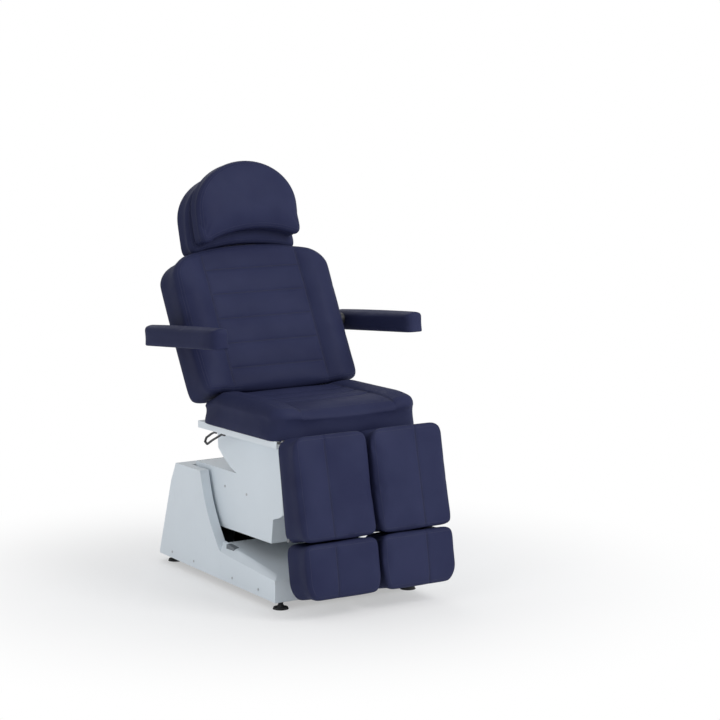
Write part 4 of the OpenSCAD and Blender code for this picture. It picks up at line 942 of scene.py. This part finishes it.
# Seams and stitched outlines
bk, st = PAD["backrest_upholstery"], PAD["seat_upholstery"]
for sgn in (-1, 1):
    seam(bk, [(sgn * BACK_SIDE, 0, 100), (sgn * BACK_SIDE, 0, 590)], offset=4.5)
for a in BACK_SEAMS:
    seam(bk, [(3 - BACK_SIDE, 0, a), (BACK_SIDE - 3, 0, a)], double=False)
for sgn in (-1, 1):
    seam(st, [(sgn * SEAT_SIDE, 0, 20), (sgn * SEAT_SIDE, 0, 439)], offset=4.5)
for a in SEAT_SEAMS:
    seam(st, [(3 - SEAT_SIDE, 0, a), (SEAT_SIDE - 3, 0, a)], double=False)
for sd, nm, _ in SIDES:
    for part, low, high in (("leg", 12, 345), ("foot", 14, 182)):
        p = PAD[f"{part}_upholstery_{nm}"]
        seam(p, [(sd * LEG_SEAM, 0, low), (sd * LEG_SEAM, 0, high)])
        outline(p, -3.0)
for name in ("pillow_upholstery", "headrest_upholstery"):
    outline(PAD[name], -6.0)
    outline(PAD[name], -14.0)
for inset in (-9.0, -17.0):
    outline(bk, inset, keep=lambda x, z: abs(x) > 150 or z > 300)
outline(st, -8.0, keep=lambda x, z: z < 440)
for _, nm, _ in SIDES:
    outline(PAD["armrest_upholstery_" + nm], -6.0)
finish_seams()

# ---------------------------------------------------------------- rigid pieces with rounded edges
# The front edge of the cover's side walls: the solid's corners, and the sweep that eases them
WING_Z = [128, 165, 204, 235, 272, 346, 396]
WING_Y = [426, 460, 480, 514, 540, 566, 582]
WING_FOOT = 134
WING_FIT = np.polyfit([128, 160, 196, 237, 282, 346, 396], [434, 456, 484, 514, 540, 566, 582], 4)


def ease_wing(x, y, z):
    """Turns the cornered front edge of the cover's side walls into one sweep."""
    edge = float(np.interp(z, WING_Z, WING_Y))
    if not WING_FOOT < z < WING_Z[-1] or abs(y - SHIFT - edge) > 30:
        return x, y, z
    ends = soft_step((z - WING_FOOT) / 26) * soft_step((WING_Z[-1] - z) / 20)
    return x, y + ends * (float(np.polyval(WING_FIT, z)) - edge), z


def tuck_shroud(x, y, z):
    """Takes the shroud's lower rear edge further back, behind the cover's side walls."""
    return x, y + (42 if z < 378 and 495 < y - SHIFT < 580 else 0), z


rounded("base_cover", "base_cover_shell", "base", 7, 4, cuts=range(144, WING_Z[-1], 10), shape=ease_wing)
rounded("under_seat_shroud", "shroud_shell", "carriage", 12, 5, shape=tuck_shroud)
rounded("seat_frame", "seat_tray", "seat", 1.6, 2)


# ---------------------------------------------------------------- stage, light and camera
def stage_floor():
    """A pale floor that shows the shadow near the object and is plain white further away."""
    me = bpy.data.meshes.new("studio_floor")
    r = 55.0
    me.from_pydata([(-r, -r, 0), (r, -r, 0), (r, r, 0), (-r, r, 0)], [], [(0, 1, 2, 3)])
    g = Graph("studio_floor_paint")
    n = g.noise(2.0, 2.0)
    tone = g.ramp(n, "Fac", [(0.3, (0.93, 0.93, 0.93, 1)), (0.7, (0.95, 0.95, 0.95, 1))])
    g.link(tone, "Color", g.bsdf, "Base Color")
    g.bsdf.inputs["Roughness"].default_value = 0.9
    g.bsdf.inputs["Specular IOR Level"].default_value = 0.1
    glow = g.add("ShaderNodeEmission")
    glow.inputs["Color"].default_value = (1, 1, 1, 1)
    glow.inputs["Strength"].default_value = 1.0
    path = g.add("ShaderNodeLightPath")
    far = g.add("ShaderNodeVectorMath", operation="LENGTH")
    g.link(g.co, "Object", far, 0)
    away = g.span(far, "Value", 0.42, 1.0, 0.5, 1.7)
    away.interpolation_type = "SMOOTHSTEP"
    seen = g.add("ShaderNodeMath", operation="MULTIPLY")
    g.link(away, "Result", seen, 0)
    g.link(path, "Is Camera Ray", seen, 1)
    both = g.add("ShaderNodeMixShader")
    g.link(seen, "Value", both, 0)
    g.link(g.bsdf, "BSDF", both, 1)
    g.link(glow, "Emission", both, 2)
    g.link(both, "Shader", g.out, "Surface")
    me.materials.append(g.mat)
    o = bpy.data.objects.new("studio_floor", me)
    scene.collection.objects.link(o)


stage_floor()


def area(name, place, target, size, power):
    d = bpy.data.lights.new(name, "AREA")
    d.shape = "RECTANGLE"
    d.size, d.size_y = size
    d.energy = power
    o = bpy.data.objects.new(name, d)
    o.location = place
    o.rotation_euler = (Vector(target) - Vector(place)).to_track_quat("-Z", "Y").to_euler()
    scene.collection.objects.link(o)
    return o


area("key", (1.9, -4.6, 4.4), (0, 0, 0.7), (2.6, 2.6), 150)
side_fill = area("fill", (-4.8, -2.0, 1.6), (0, 0, 0.45), (3.0, 2.0), 48)
area("rear", (1.5, 4.0, 3.8), (0, 0, 0.8), (3.0, 2.0), 40)

# The low side light is shaded off the upholstery, so that the pads' left sides stay darker than their fronts
lit = bpy.data.collections.new("lit_by_side_light")
for o in scene.objects:
    if o.type == "MESH" and NAVY not in list(o.data.materials):
        lit.objects.link(o)
side_fill.light_linking.receiver_collection = lit

world = bpy.data.worlds.new("studio")
scene.world = world
world.use_nodes = True
wt = world.node_tree
wt.nodes.clear()
# The backdrop is plain white to the camera, and the light that comes from it is dimmer and a little blue
shown = wt.nodes.new("ShaderNodeMixShader")
rays = wt.nodes.new("ShaderNodeLightPath")
end = wt.nodes.new("ShaderNodeOutputWorld")
wt.links.new(rays.outputs["Is Camera Ray"], shown.inputs[0])
for slot, colour, strength in ((1, (0.95, 0.97, 1.0, 1), 0.52), (2, (1, 1, 1, 1), 1.0)):
    bg = wt.nodes.new("ShaderNodeBackground")
    bg.inputs["Color"].default_value = colour
    bg.inputs["Strength"].default_value = strength
    wt.links.new(bg.outputs[0], shown.inputs[slot])
wt.links.new(shown.outputs[0], end.inputs["Surface"])

# The photo's camera: its place in the CAD's frame, its aim, and its focal length in photo pixels
CAMERA_AT = (-4817.1, -7268.9, 2122.7)
FOCAL, PHOTO_W = 2543, 720
YAW, PITCH = math.radians(33.8), math.radians(8.3)
cam = bpy.data.cameras.new("photo_camera")
cam.sensor_fit = "HORIZONTAL"
cam.sensor_width = 36
cam.lens = FOCAL / PHOTO_W * cam.sensor_width
cam.clip_end = 60
co = bpy.data.objects.new("photo_camera", cam)
co.location = PLACED @ Vector(CAMERA_AT) * MM
aim = Vector((math.sin(YAW) * math.cos(PITCH), math.cos(YAW) * math.cos(PITCH), -math.sin(PITCH)))
co.rotation_euler = aim.to_track_quat("-Z", "Y").to_euler()
scene.collection.objects.link(co)
scene.camera = co

bpy.context.view_layer.update()
